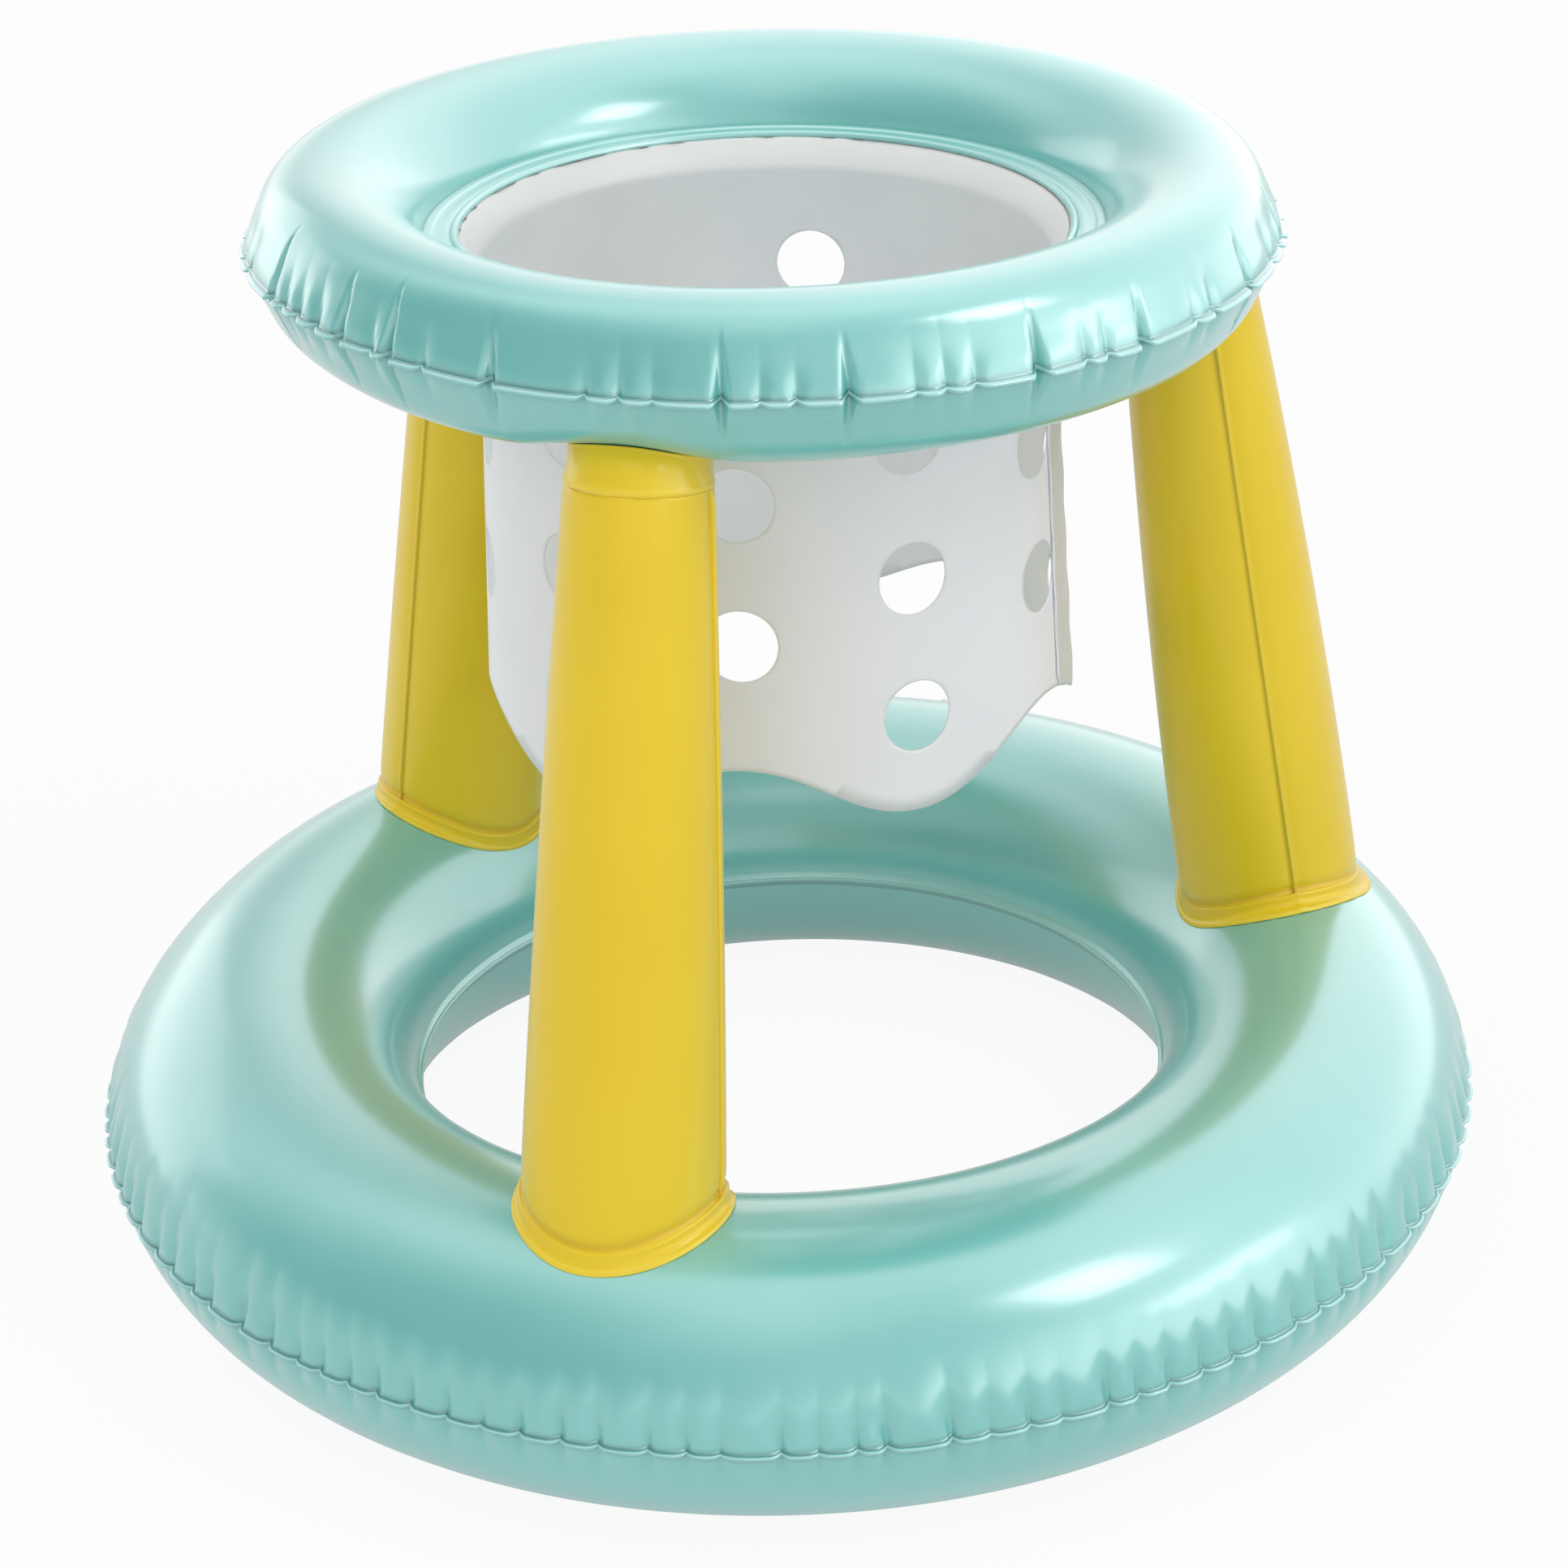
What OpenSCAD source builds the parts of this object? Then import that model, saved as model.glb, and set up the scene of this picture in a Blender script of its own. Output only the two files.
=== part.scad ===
// Inflatable floating hoop game, built from welded vinyl sheet.
// A fat base ring floats, three tapered legs lean in from it to a smaller hoop ring,
// and a punched film net hangs from the web inside the hoop.
// Millimetres, +Z up, origin on the ground below the middle of the base ring.
// The front leg stands on -Y, the two valves are at the back, on +Y.

/* [Film] */
// Thickness of the vinyl sheets
film = 0.8; // [0.6:0.1:1.2]
// Clearance between two sheets that lie on each other
seat = 0.1; // [0.05:0.05:0.2]

/* [Base ring] */
// Radius at which the base tube is highest
base_crest_r = 258; // [235:1:285]
// Width of the base tube outside its crest
base_out_w = 74; // [67:1:82]
// Width of the base tube inside its crest
base_in_w = 74; // [67:1:82]
// Height of the base tube before it flattens on the ground
base_tube_h = 134; // [120:1:150]
// How far the underside is flattened where it rests
sole_flat = 0.6; // [0.4:0.1:2]
// Width of the weld that stands out round the base
base_weld_w = 3; // [2:0.5:6]
// Width of the weld inside the base ring's hole
base_inner_weld_w = 2; // [1:0.5:4]

/* [Hoop ring] */
// Radius at which the hoop tube is highest
hoop_crest_r = 199; // [186:1:208]
// Width of the hoop tube outside its crest
hoop_out_w = 30; // [27:1:34]
// Width of the hoop tube from its crest in to its flat web
hoop_in_w = 47; // [43:1:52]
// Height of the hoop tube
hoop_tube_h = 69; // [60:1:80]
// Height of the hoop's weld plane above the ground
hoop_weld_z = 493.5; // [450:0.5:540]
// Width of the flat web inside the hoop tube
hoop_web_w = 16; // [10:1:22]
// Width of the weld that stands out round the hoop
hoop_weld_w = 3; // [2:0.5:6]
// How sharply the tube narrows towards its web, 1 is an ellipse
hoop_pinch = 1.22; // [1:0.02:1.4]

/* [Legs] */
// Diameter of a leg where it stands on the base ring
leg_foot_d = 89; // [78:1:96]
// Diameter of a leg where it meets the hoop ring
leg_top_d = 60; // [50:1:64]
// Distance of a leg's foot inside the base ring's crest
leg_foot_inset = 9; // [0:1:14]
// Distance of a leg's top inside the hoop ring's crest
leg_top_inset = 3; // [0:1:6]
// Width of the two side welds of a leg
leg_weld_w = 2.5; // [1.5:0.5:4]
// Width of the flange that shows round a leg's foot
foot_flange_w = 6.5; // [4:0.5:10]
// Width of the foot flange under the leg, inside its wall
foot_flange_lap = 2.5; // [1.5:0.5:5]
// Height of the collar between a leg and the hoop ring
collar_h = 12; // [8:1:18]
// Width of the weld round the collar's lower end
collar_weld_w = 1.6; // [1:0.2:3]
// Diameter of the air port from a leg to the hoop ring
port_d = 18; // [10:1:26]

/* [Net] */
// Length of the net from the hoop's weld plane to its lowest point
net_drop = 235; // [215:1:270]
// Height of the waves in the net's hem
net_wave_h = 27; // [10:1:36]
// Number of waves round the hem
net_waves = 5; // [4:1:6]
// Diameter of the punched holes
net_hole_d = 33; // [20:1:40]
// Distance from the weld plane down to the first hole of a long row
net_hole_first = 61; // [56:0.5:66]
// Vertical distance between the holes of one row
net_hole_pitch = 64.5; // [58:0.5:70]
// How much lower a short row starts than a long row
net_row_drop = 24; // [18:1:34]
// Width of the net's rim that is welded under the web
net_rim_w = 4; // [2:0.5:8]
// How far the net draws in below its rim
net_mouth_in = 8; // [4:0.5:12]
// Height over which the net draws in
net_mouth_h = 12; // [8:1:18]
// How much the net's radius grows from there to the hem
net_flare = 9; // [4:0.5:14]
// Width of the strip where the net's two ends overlap
net_lap_w = 29; // [22:1:34]
// Direction of the middle of one hem wave
net_turn = 25.5; // [0:0.5:72]
// Direction of the overlap strip
net_lap_turn = 2; // [1:0.5:4]

/* [Valves] */
// Diameter of the hollow valve stem
stem_d = 13; // [12:0.5:15]
// Diameter of the stem's air bore
stem_bore_d = 8.4; // [7.6:0.2:9]
// How far the stem stands out when it is pushed in
stem_rise = 2; // [1.8:0.1:3]
// How far the stem reaches into the ring when it is pushed in
stem_depth = 12; // [10:0.5:16]
// Width and thickness of the stop rim at the stem's inner end
stem_stop = 1.2; // [0.9:0.1:1.6]
// Clearance round the valve's moving pieces
valve_gap = 0.3; // [0.25:0.05:0.4]
// Diameter of the valve's welded flange
valve_flange_d = 30; // [26:1:36]
// Wall of the guide sleeve inside the flange
sleeve_wall = 0.8; // [0.6:0.1:1.2]
// Depth of the guide sleeve below the ring's surface
sleeve_depth = 2.4; // [1.8:0.1:3]
// Thickness of the plug's cap
plug_cap_h = 1.3; // [1:0.1:2]
// Length of the plug's tapered body
plug_body_h = 4.3; // [3:0.1:5]
// Taper of the plug's radius from cap to tip
plug_taper = 0.9; // [0.8:0.1:1.5]
// Distance from the stem's axis to the strap's hinge line
strap_reach = 9.5; // [9:0.5:11]
// Width of the plug's strap
strap_w = 3; // [2:0.5:4]
// Radius of the round end of the strap
knuckle_r = 1; // [0.8:0.1:1.2]
// Thickness of the one-way flap inside the stem's end
flap_t = 0.5; // [0.4:0.1:1]
// Angle up the base tube's outer side at which its valve sits
base_valve_rise = 35; // [28:1:45]
// Angle up the hoop tube's outer side at which its valve sits
hoop_valve_rise = 30; // [26:1:40]

/* [Hidden] */

$fn = 96;
over = 1;                        // how far a cutting body runs past what it cuts
ring_steps = 16;                 // flats on a quarter of a tube's section
hem_steps = 12;                  // flats on one wave of the hem
teal = [0.60, 0.82, 0.80];
yellow = [0.88, 0.80, 0.24];
white = [0.91, 0.91, 0.90];
clear_white = [0.82, 0.88, 0.88];

base_outer_r = base_crest_r + base_out_w;
base_inner_r = base_crest_r - base_in_w;
base_half_h = base_tube_h / 2;
base_weld_z = base_half_h - sole_flat;
base_top_z = base_weld_z + base_half_h;
hoop_outer_r = hoop_crest_r + hoop_out_w;
hoop_inner_r = hoop_crest_r - hoop_in_w;
hoop_half_h = hoop_tube_h / 2;
hoop_bottom_z = hoop_weld_z - hoop_half_h;

front_az = -90;
right_az = 30;
left_az = 150;
valve_az = 90;
foot_pitch_r = base_crest_r - leg_foot_inset;
top_pitch_r = hoop_crest_r - leg_top_inset;
leg_in = foot_pitch_r - top_pitch_r;
leg_up = hoop_bottom_z - base_top_z;
leg_lean = atan2(leg_in, leg_up);
leg_len = norm([leg_in, leg_up]);
leg_sink = 0.5 * base_half_h;    // length of a leg's tube that is cut to the base ring
leg_rise = 0.9 * hoop_half_h;    // length of a collar that is cut to the hoop ring
leg_end = leg_len - collar_h;

net_outer_r = hoop_inner_r - hoop_web_w;
net_throat_r = net_outer_r - net_mouth_in;
net_hem_r = net_throat_r + net_flare;
net_top_z = hoop_weld_z - film - seat;
net_throat_z = net_top_z - net_mouth_h;
net_low_z = hoop_weld_z - net_drop;
net_columns = 2 * net_waves;

stem_r = stem_d / 2;
bore_r = stem_bore_d / 2;
sleeve_r = stem_r + valve_gap;
sleeve_top = film + 2 * seat;
lug_h = stem_rise - sleeve_top - valve_gap;
plug_z = stem_rise + valve_gap;
plug_top_r = bore_r - valve_gap;
knuckle_z = plug_z + knuckle_r;
flap_z = -stem_depth - valve_gap;

// ---- Sections of the inflated tubes ----

// Half a tube's section, from the outer weld over the crest to the inner weld, grown by t.
// The first and last points start at the rise angles a_out and a_in.
function tube_half(t, crest, outer, inner, half_h, pinch, flat, a_out, a_in) = concat(
    [for (i = [0 : ring_steps]) let (a = a_out + (90 - a_out) * i / ring_steps)
        [crest + (outer - crest + t) * cos(a), min((half_h + t) * sin(a), half_h - flat + t)]],
    [for (i = [1 : ring_steps]) let (a = 90 - (90 - a_in) * i / ring_steps)
        [crest - (crest - inner + t) * cos(a),
         min((half_h + t) * pow(sin(a), pinch), half_h - flat + t)]]);

function reversed(points) = [for (i = [len(points) - 1 : -1 : 0]) points[i]];

function base_half(t, flat = 0, a_out = 0, a_in = 0) =
    tube_half(t, base_crest_r, base_outer_r, base_inner_r, base_half_h, 1, flat, a_out, a_in);

function hoop_half(t, a_out = 0, a_in = 0) =
    tube_half(t, hoop_crest_r, hoop_outer_r, hoop_inner_r, hoop_half_h, hoop_pinch, 0, a_out, a_in);

// Outline of one panel: the curved sheet and its flat welds, all above z = 0.
function panel_outline(skin, lining, weld_out, weld_in) = concat(
    [[weld_out, 0], [weld_out, film]], skin, [[weld_in, film], [weld_in, 0]], reversed(lining));

// Rise angles at which the skin leaves the flat welds.
base_off = asin(film / base_half_h);
hoop_off = asin(film / hoop_half_h);
hoop_off_in = asin(pow(film / hoop_half_h, 1 / hoop_pinch));

module base_panel(flat) {
    rotate_extrude()
        polygon(panel_outline(base_half(0, flat, base_off, base_off), base_half(-film, flat),
                              base_outer_r + base_weld_w, base_inner_r - base_inner_weld_w));
}

module hoop_panel() {
    rotate_extrude()
        polygon(panel_outline(hoop_half(0, hoop_off, hoop_off_in), hoop_half(-film),
                              hoop_outer_r + hoop_weld_w, hoop_inner_r - hoop_web_w));
}

// A whole section from its upper half.
function whole(half) = concat(half, [for (i = [len(half) - 2 : -1 : 1]) [half[i].x, -half[i].y]]);

// Everything inside the base tube grown by t, used to cut legs to its surface.
module base_form(t) {
    translate([0, 0, base_weld_z]) rotate_extrude() polygon(whole(base_half(t)));
}

// Everything inside the hoop tube grown by t, used to cut collars to its surface.
module hoop_form(t) {
    translate([0, 0, hoop_weld_z]) rotate_extrude() polygon(whole(hoop_half(t)));
}

// A sheet that lies on the upper base surface.
module base_layer() {
    translate([0, 0, base_weld_z])
        rotate_extrude() polygon(concat(base_half(seat + film), reversed(base_half(seat))));
}

// A sheet that lies on the upper hoop surface.
module hoop_layer() {
    translate([0, 0, hoop_weld_z])
        rotate_extrude() polygon(concat(hoop_half(seat + film), reversed(hoop_half(seat))));
}

// ---- Placing legs and valves ----

// Puts a leg's own frame in place: z runs up its axis from the base, x points outward.
module on_leg(az) {
    rotate([0, 0, az])
        translate([foot_pitch_r, 0, base_top_z])
            rotate([0, -leg_lean, 0]) children();
}

// Puts a valve's own frame on a tube's outer side: z is the surface's normal, x runs down it.
module on_tube(crest, reach, half_h, weld_z, rise) {
    rotate([0, 0, valve_az])
        translate([crest + reach * cos(rise), 0, weld_z + half_h * sin(rise)])
            rotate([0, 90 - atan2(reach * sin(rise), half_h * cos(rise)), 0]) children();
}

module on_base_valve() {
    on_tube(base_crest_r, base_outer_r - base_crest_r, base_half_h, base_weld_z, base_valve_rise)
        children();
}

module on_hoop_valve() {
    on_tube(hoop_crest_r, hoop_outer_r - hoop_crest_r, hoop_half_h, hoop_weld_z, hoop_valve_rise)
        children();
}

// ---- Rings ----

module base_upper_panel() {
    color(teal)
        difference() {
            translate([0, 0, base_weld_z]) base_panel(0);
            on_base_valve() valve_hole();
        }
}

module base_lower_panel() {
    color(teal)
        translate([0, 0, base_weld_z]) mirror([0, 0, 1]) base_panel(sole_flat);
}

module hoop_upper_panel() {
    color(teal)
        difference() {
            translate([0, 0, hoop_weld_z]) hoop_panel();
            on_hoop_valve() valve_hole();
        }
}

module hoop_lower_panel() {
    color(teal)
        difference() {
            translate([0, 0, hoop_weld_z]) mirror([0, 0, 1]) hoop_panel();
            for (az = [front_az, right_az, left_az])
                on_leg(az) translate([0, 0, leg_end]) cylinder(h = collar_h + leg_rise, d = port_d);
        }
}

// ---- Legs ----

// Outer radius of a leg's tube at a height up its axis.
function leg_r(s) = (leg_foot_d + (leg_top_d - leg_foot_d) * s / leg_len) / 2;

// The leg's tapered tube between two heights up its axis.
module leg_tube(low, high) {
    difference() {
        translate([0, 0, low])
            cylinder(h = high - low, r1 = leg_r(low), r2 = leg_r(high));
        translate([0, 0, low - over])
            cylinder(h = high - low + 2 * over, r1 = leg_r(low - over) - film,
                     r2 = leg_r(high + over) - film);
    }
}

// The flat weld that runs up the leg's +Y side.
module leg_side_weld(low, high) {
    rotate([90, 0, 90])
        linear_extrude(film)
            polygon([[leg_r(low) - film, low], [leg_r(low) + leg_weld_w, low],
                     [leg_r(high) + leg_weld_w, high], [leg_r(high) - film, high]]);
}

// Half of a leg, on the side of +X, with its two side welds, cut to the foot flange.
module leg_half() {
    low = -leg_sink;
    intersection() {
        leg_tube(low, leg_end);
        translate([0, -leg_foot_d, low]) cube([leg_foot_d, 2 * leg_foot_d, leg_end - low]);
    }
    leg_side_weld(low, leg_end);
    mirror([0, 1, 0]) leg_side_weld(low, leg_end);
}

module leg_outer_panel(az) {
    color(yellow)
        difference() {
            on_leg(az) leg_half();
            base_form(2 * seat + film);
        }
}

module leg_inner_panel(az) {
    color(yellow)
        difference() {
            on_leg(az) mirror([1, 0, 0]) leg_half();
            base_form(2 * seat + film);
        }
}

module leg_foot_flange(az) {
    color(yellow)
        intersection() {
            base_layer();
            on_leg(az)
                translate([0, 0, -leg_sink])
                    difference() {
                        cylinder(h = 2 * leg_sink, r = leg_foot_d / 2 + foot_flange_w);
                        translate([0, 0, -over])
                            cylinder(h = 2 * leg_sink + 2 * over,
                                     r = leg_foot_d / 2 - film - foot_flange_lap);
                    }
        }
}

module leg_top_collar(az) {
    color(yellow)
        difference() {
            on_leg(az) {
                leg_tube(leg_end, leg_len + leg_rise);
                translate([0, 0, leg_end])
                    difference() {
                        cylinder(h = film, r = leg_r(leg_end) + collar_weld_w);
                        translate([0, 0, -over])
                            cylinder(h = film + 2 * over, r = leg_r(leg_end) - film / 2);
                    }
            }
            hoop_form(seat);
        }
}

// ---- Net ----

// The net's wall: a rim turned out under the web, a mouth that draws in, and a slight flare.
module net_sleeve() {
    rotate_extrude()
        polygon([[net_hem_r - film, net_low_z], [net_hem_r, net_low_z], [net_throat_r, net_throat_z],
                 [net_outer_r, net_top_z - film], [net_outer_r + net_rim_w, net_top_z - film],
                 [net_outer_r + net_rim_w, net_top_z], [net_outer_r - film, net_top_z],
                 [net_throat_r - film, net_throat_z]]);
}

// The sheet's outer end, which lies over its other end and covers part of one row of holes.
module net_lap() {
    reach = net_hem_r + film + over;
    intersection() {
        rotate_extrude()
            polygon([[net_hem_r - film / 2, net_low_z], [net_hem_r + film, net_low_z],
                     [net_throat_r + film, net_throat_z], [net_throat_r - film / 2, net_throat_z]]);
        rotate([0, 0, net_lap_turn])
            translate([0, -net_lap_w / 2, net_low_z - over])
                cube([reach, net_lap_w, net_throat_z - net_low_z + 2 * over]);
    }
}

// What is cut away below the hem between two neighbouring waves. It starts a little below the
// sheet's end, so that two neighbouring cuts don't touch.
module hem_gap() {
    half_turn = 180 / net_waves;
    low = net_low_z - film / 2;
    rotate([90, 0, 90])
        translate([0, 0, net_hem_r / 2])
            linear_extrude(net_hem_r)
                polygon(concat(
                    [for (i = [0 : hem_steps]) let (a = half_turn * (2 * i / hem_steps - 1))
                        [net_hem_r * sin(a),
                         low + (net_low_z + net_wave_h - low) * (1 + cos(a * net_waves)) / 2]],
                    [[net_hem_r * sin(half_turn), low - over],
                     [-net_hem_r * sin(half_turn), low - over]]));
}

// All the cuts that give the hem its waves.
module hem_cuts() {
    for (i = [0 : net_waves - 1])
        rotate([0, 0, net_turn + (i + 0.5) * 360 / net_waves]) hem_gap();
}

// A row of holes down the net: long rows have three, short rows two between them.
module hole_row(long) {
    first = long ? net_hole_first : net_hole_first + net_row_drop;
    for (i = [0 : long ? 2 : 1])
        translate([net_throat_r / 2, 0, hoop_weld_z - first - i * net_hole_pitch])
            rotate([0, 90, 0]) cylinder(h = net_hem_r, d = net_hole_d);
}

module net() {
    seam_turn = 180 / net_columns + 180 / net_waves / hem_steps;
    color(white) {
        difference() {
            rotate([0, 0, net_turn + seam_turn]) net_sleeve();
            for (i = [0 : net_columns - 1])
                rotate([0, 0, net_turn + i * 360 / net_columns]) hole_row(i % 2 == 0);
            hem_cuts();
        }
        difference() {
            net_lap();
            hem_cuts();
        }
    }
}

// ---- Valves, each in its own frame with z = 0 on the ring's surface ----

// The hole in the ring's panel for the guide sleeve.
module valve_hole() {
    translate([0, 0, -stem_depth])
        cylinder(h = 2 * stem_depth, r = sleeve_r + sleeve_wall + seat);
}

// The flange's outline, which is laid on the ring's surface.
module flange_disc() {
    translate([0, 0, -stem_depth])
        difference() {
            cylinder(h = 2 * stem_depth, d = valve_flange_d);
            translate([0, 0, -over]) cylinder(h = 2 * stem_depth + 2 * over, r = sleeve_r);
        }
}

module guide_sleeve() {
    translate([0, 0, -sleeve_depth])
        difference() {
            cylinder(h = sleeve_depth + sleeve_top, r = sleeve_r + sleeve_wall);
            translate([0, 0, -over])
                cylinder(h = sleeve_depth + sleeve_top + 2 * over, r = sleeve_r);
        }
}

// Hollow stem with its stop rim inside and the small lug that carries the strap.
module valve_stem() {
    difference() {
        union() {
            translate([0, 0, -stem_depth]) cylinder(h = stem_depth + stem_rise, r = stem_r);
            translate([0, 0, -stem_depth]) cylinder(h = stem_stop, r = stem_r + stem_stop);
            translate([-strap_reach - knuckle_r, -strap_w / 2, stem_rise - lug_h])
                cube([strap_reach + knuckle_r, strap_w, lug_h]);
        }
        translate([0, 0, -stem_depth - over])
            cylinder(h = stem_depth + stem_rise + 2 * over, r = bore_r);
    }
}

// Cap, tapered body, strap and the strap's round end on the hinge line.
module valve_plug() {
    translate([0, 0, plug_z]) cylinder(h = plug_cap_h, r = stem_r);
    translate([0, 0, plug_z - plug_body_h])
        cylinder(h = plug_body_h, r1 = plug_top_r - plug_taper, r2 = plug_top_r);
    translate([-strap_reach, -strap_w / 2, plug_z + plug_cap_h / 4])
        cube([strap_reach, strap_w, plug_cap_h * 3 / 4]);
    translate([-strap_reach, strap_w / 2, knuckle_z])
        rotate([90, 0, 0]) cylinder(h = strap_w, r = knuckle_r);
}

// One-way flap under the stem's inner end.
module valve_flap() {
    translate([0, 0, flap_z - flap_t])
        cylinder(h = flap_t, r = (bore_r + stem_r) / 2);
}

module base_valve_flange() {
    color(clear_white) {
        intersection() {
            base_layer();
            on_base_valve() flange_disc();
        }
        on_base_valve() guide_sleeve();
    }
}

module base_valve_stem() {
    color(clear_white) on_base_valve() valve_stem();
}

module base_valve_plug() {
    color(clear_white) on_base_valve() valve_plug();
}

module base_valve_flap() {
    color(clear_white) on_base_valve() valve_flap();
}

module hoop_valve_flange() {
    color(clear_white) {
        intersection() {
            hoop_layer();
            on_hoop_valve() flange_disc();
        }
        on_hoop_valve() guide_sleeve();
    }
}

module hoop_valve_stem() {
    color(clear_white) on_hoop_valve() valve_stem();
}

module hoop_valve_plug() {
    color(clear_white) on_hoop_valve() valve_plug();
}

module hoop_valve_flap() {
    color(clear_white) on_hoop_valve() valve_flap();
}

base_upper_panel();
base_lower_panel();
hoop_upper_panel();
hoop_lower_panel();
net();
leg_outer_panel(front_az);  // leg_front_outer_panel
leg_inner_panel(front_az);  // leg_front_inner_panel
leg_foot_flange(front_az);  // leg_front_foot_flange
leg_top_collar(front_az);  // leg_front_top_collar
leg_outer_panel(right_az);  // leg_right_outer_panel
leg_inner_panel(right_az);  // leg_right_inner_panel
leg_foot_flange(right_az);  // leg_right_foot_flange
leg_top_collar(right_az);  // leg_right_top_collar
leg_outer_panel(left_az);  // leg_left_outer_panel
leg_inner_panel(left_az);  // leg_left_inner_panel
leg_foot_flange(left_az);  // leg_left_foot_flange
leg_top_collar(left_az);  // leg_left_top_collar
base_valve_flange();
base_valve_stem();
base_valve_plug();
base_valve_flap();
hoop_valve_flange();
hoop_valve_stem();
hoop_valve_plug();
hoop_valve_flap();
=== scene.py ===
# %% [markdown]
# # A floating hoop game in welded vinyl
# The object is a pool toy: a fat base ring, three tapered legs, a smaller hoop ring and a punched
# net. Every wall is thin sheet under air pressure, so the shapes are round where nothing holds
# them and puckered where two sheets are welded together. This lesson loads the rigid model that
# fixes all sizes and then makes a finer skin for each soft piece.

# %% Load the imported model
import math

import bpy
import numpy as np
from mathutils import Matrix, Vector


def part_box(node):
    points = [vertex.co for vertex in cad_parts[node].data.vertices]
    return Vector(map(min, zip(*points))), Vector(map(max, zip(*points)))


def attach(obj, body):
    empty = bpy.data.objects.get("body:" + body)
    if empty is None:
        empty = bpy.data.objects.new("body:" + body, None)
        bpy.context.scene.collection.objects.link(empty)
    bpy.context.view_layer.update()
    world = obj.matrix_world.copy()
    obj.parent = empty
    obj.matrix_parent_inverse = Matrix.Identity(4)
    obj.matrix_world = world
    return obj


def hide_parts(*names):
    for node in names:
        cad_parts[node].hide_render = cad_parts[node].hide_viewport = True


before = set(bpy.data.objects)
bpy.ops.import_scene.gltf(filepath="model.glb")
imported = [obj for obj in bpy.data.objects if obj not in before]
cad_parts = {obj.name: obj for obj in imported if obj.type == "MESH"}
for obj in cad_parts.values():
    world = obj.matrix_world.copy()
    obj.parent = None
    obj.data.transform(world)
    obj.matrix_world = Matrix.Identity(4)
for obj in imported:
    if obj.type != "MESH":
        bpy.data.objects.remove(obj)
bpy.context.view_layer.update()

# %% [markdown]
# ## Sizes
# All lengths are written in millimetres and turned into metres only when a mesh is made. A tube's
# section is given by the radius of its crest, its widths outside and inside that crest, its half
# height and the height of the plane in which its two sheets are welded.

# %% Sizes of the two rings
MM = 0.001
FILM = 0.8
BASE = dict(crest=258.0, out=74.0, inn=74.0, half=67.0, weld=66.4, pinch=1.0)
HOOP = dict(crest=199.0, out=30.0, inn=47.0, half=34.5, weld=493.5, pinch=1.22)
VALVE_AZ = 90.0
for name, ring in (("base", BASE), ("hoop", HOOP)):
    low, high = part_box(name + "_upper_panel")
    print(name, "outer radius", ring["crest"] + ring["out"], "mm, solid reaches", round(high.x / MM, 1))

# %% Sizes of the legs
FOOT_FROM_AXIS, TOP_FROM_AXIS = 249.0, 196.0
LEAN_IN = FOOT_FROM_AXIS - TOP_FROM_AXIS
LEG_UP = (HOOP["weld"] - HOOP["half"]) - (BASE["weld"] + BASE["half"])
LEG_LEN = math.hypot(LEAN_IN, LEG_UP)
LEG_LEAN = math.atan2(LEAN_IN, LEG_UP)
LEG_END = LEG_LEN - 12.0  # the collar takes up the rest
LEGS = dict(front=-90.0, right=30.0, left=150.0)
print("leg length", round(LEG_LEN, 1), "mm, lean", round(math.degrees(LEG_LEAN), 2), "degrees")

# %% [markdown]
# ## Camera
# A camera is placed by its centre and the three directions right, up and ahead. A long lens from
# two metres away keeps the rings from looking swollen, and a small sideways shift frames them
# without turning the camera. The frame's width, the focal length and the shift are in pixels.

# %% Place the camera
def camera_frame(pan, tilt, roll, turn):
    """Right, up and ahead of a camera: ahead is turned by pan from +Y and lowered by tilt, right is
    level and square to it, and both are rolled about it; then all three turn about Z."""
    ahead = np.array([math.sin(pan) * math.cos(tilt), math.cos(pan) * math.cos(tilt), -math.sin(tilt)])
    right = np.cross(ahead, [0.0, 0.0, 1.0])
    right /= np.linalg.norm(right)
    up = np.cross(right, ahead)
    rolled = right * math.cos(roll) + up * math.sin(roll), up * math.cos(roll) - right * math.sin(roll)
    c, s = math.cos(turn), math.sin(turn)
    about = np.array([[c, -s, 0.0], [s, c, 0.0], [0.0, 0.0, 1.0]])
    return [about @ v for v in (*rolled, ahead)] + [about]


def placement(x, y, z, at):
    """The matrix of an object at at, whose own three axes point along x, y and z."""
    return Matrix([[x[i], y[i], z[i], at[i]] for i in range(3)] + [[0, 0, 0, 1]])


FRAME, FOCAL, SHIFT = 1932.0, 4566.0, 200.0
right, up, ahead, about = camera_frame(0.049, 0.460, -0.010, math.radians(17.0))
eye = about @ np.array([0.0, -4.801, 3.019]) * 0.332
lens = bpy.data.cameras.new("camera")
lens.sensor_width = 36.0
lens.lens = FOCAL / FRAME * lens.sensor_width
lens.shift_x = -SHIFT / FRAME
lens.clip_start, lens.clip_end = 0.05, 50.0
camera = bpy.data.objects.new("camera", lens)
camera.matrix_world = placement(right, up, -ahead, eye)
bpy.context.scene.collection.objects.link(camera)
bpy.context.scene.camera = camera
print("camera at", np.round(eye, 3), "lens", round(lens.lens, 2), "mm")

# %% [markdown]
# ## Meshes from arrays
# A surface is worked out as a grid of points, u along one direction and v along the other. The
# faces between the points are found by counting, and a grid that closes on itself joins its last
# row to its first. The volume of a closed surface is positive only if its faces point outward, so
# that number tells whether the grid has to be turned round.

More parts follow.
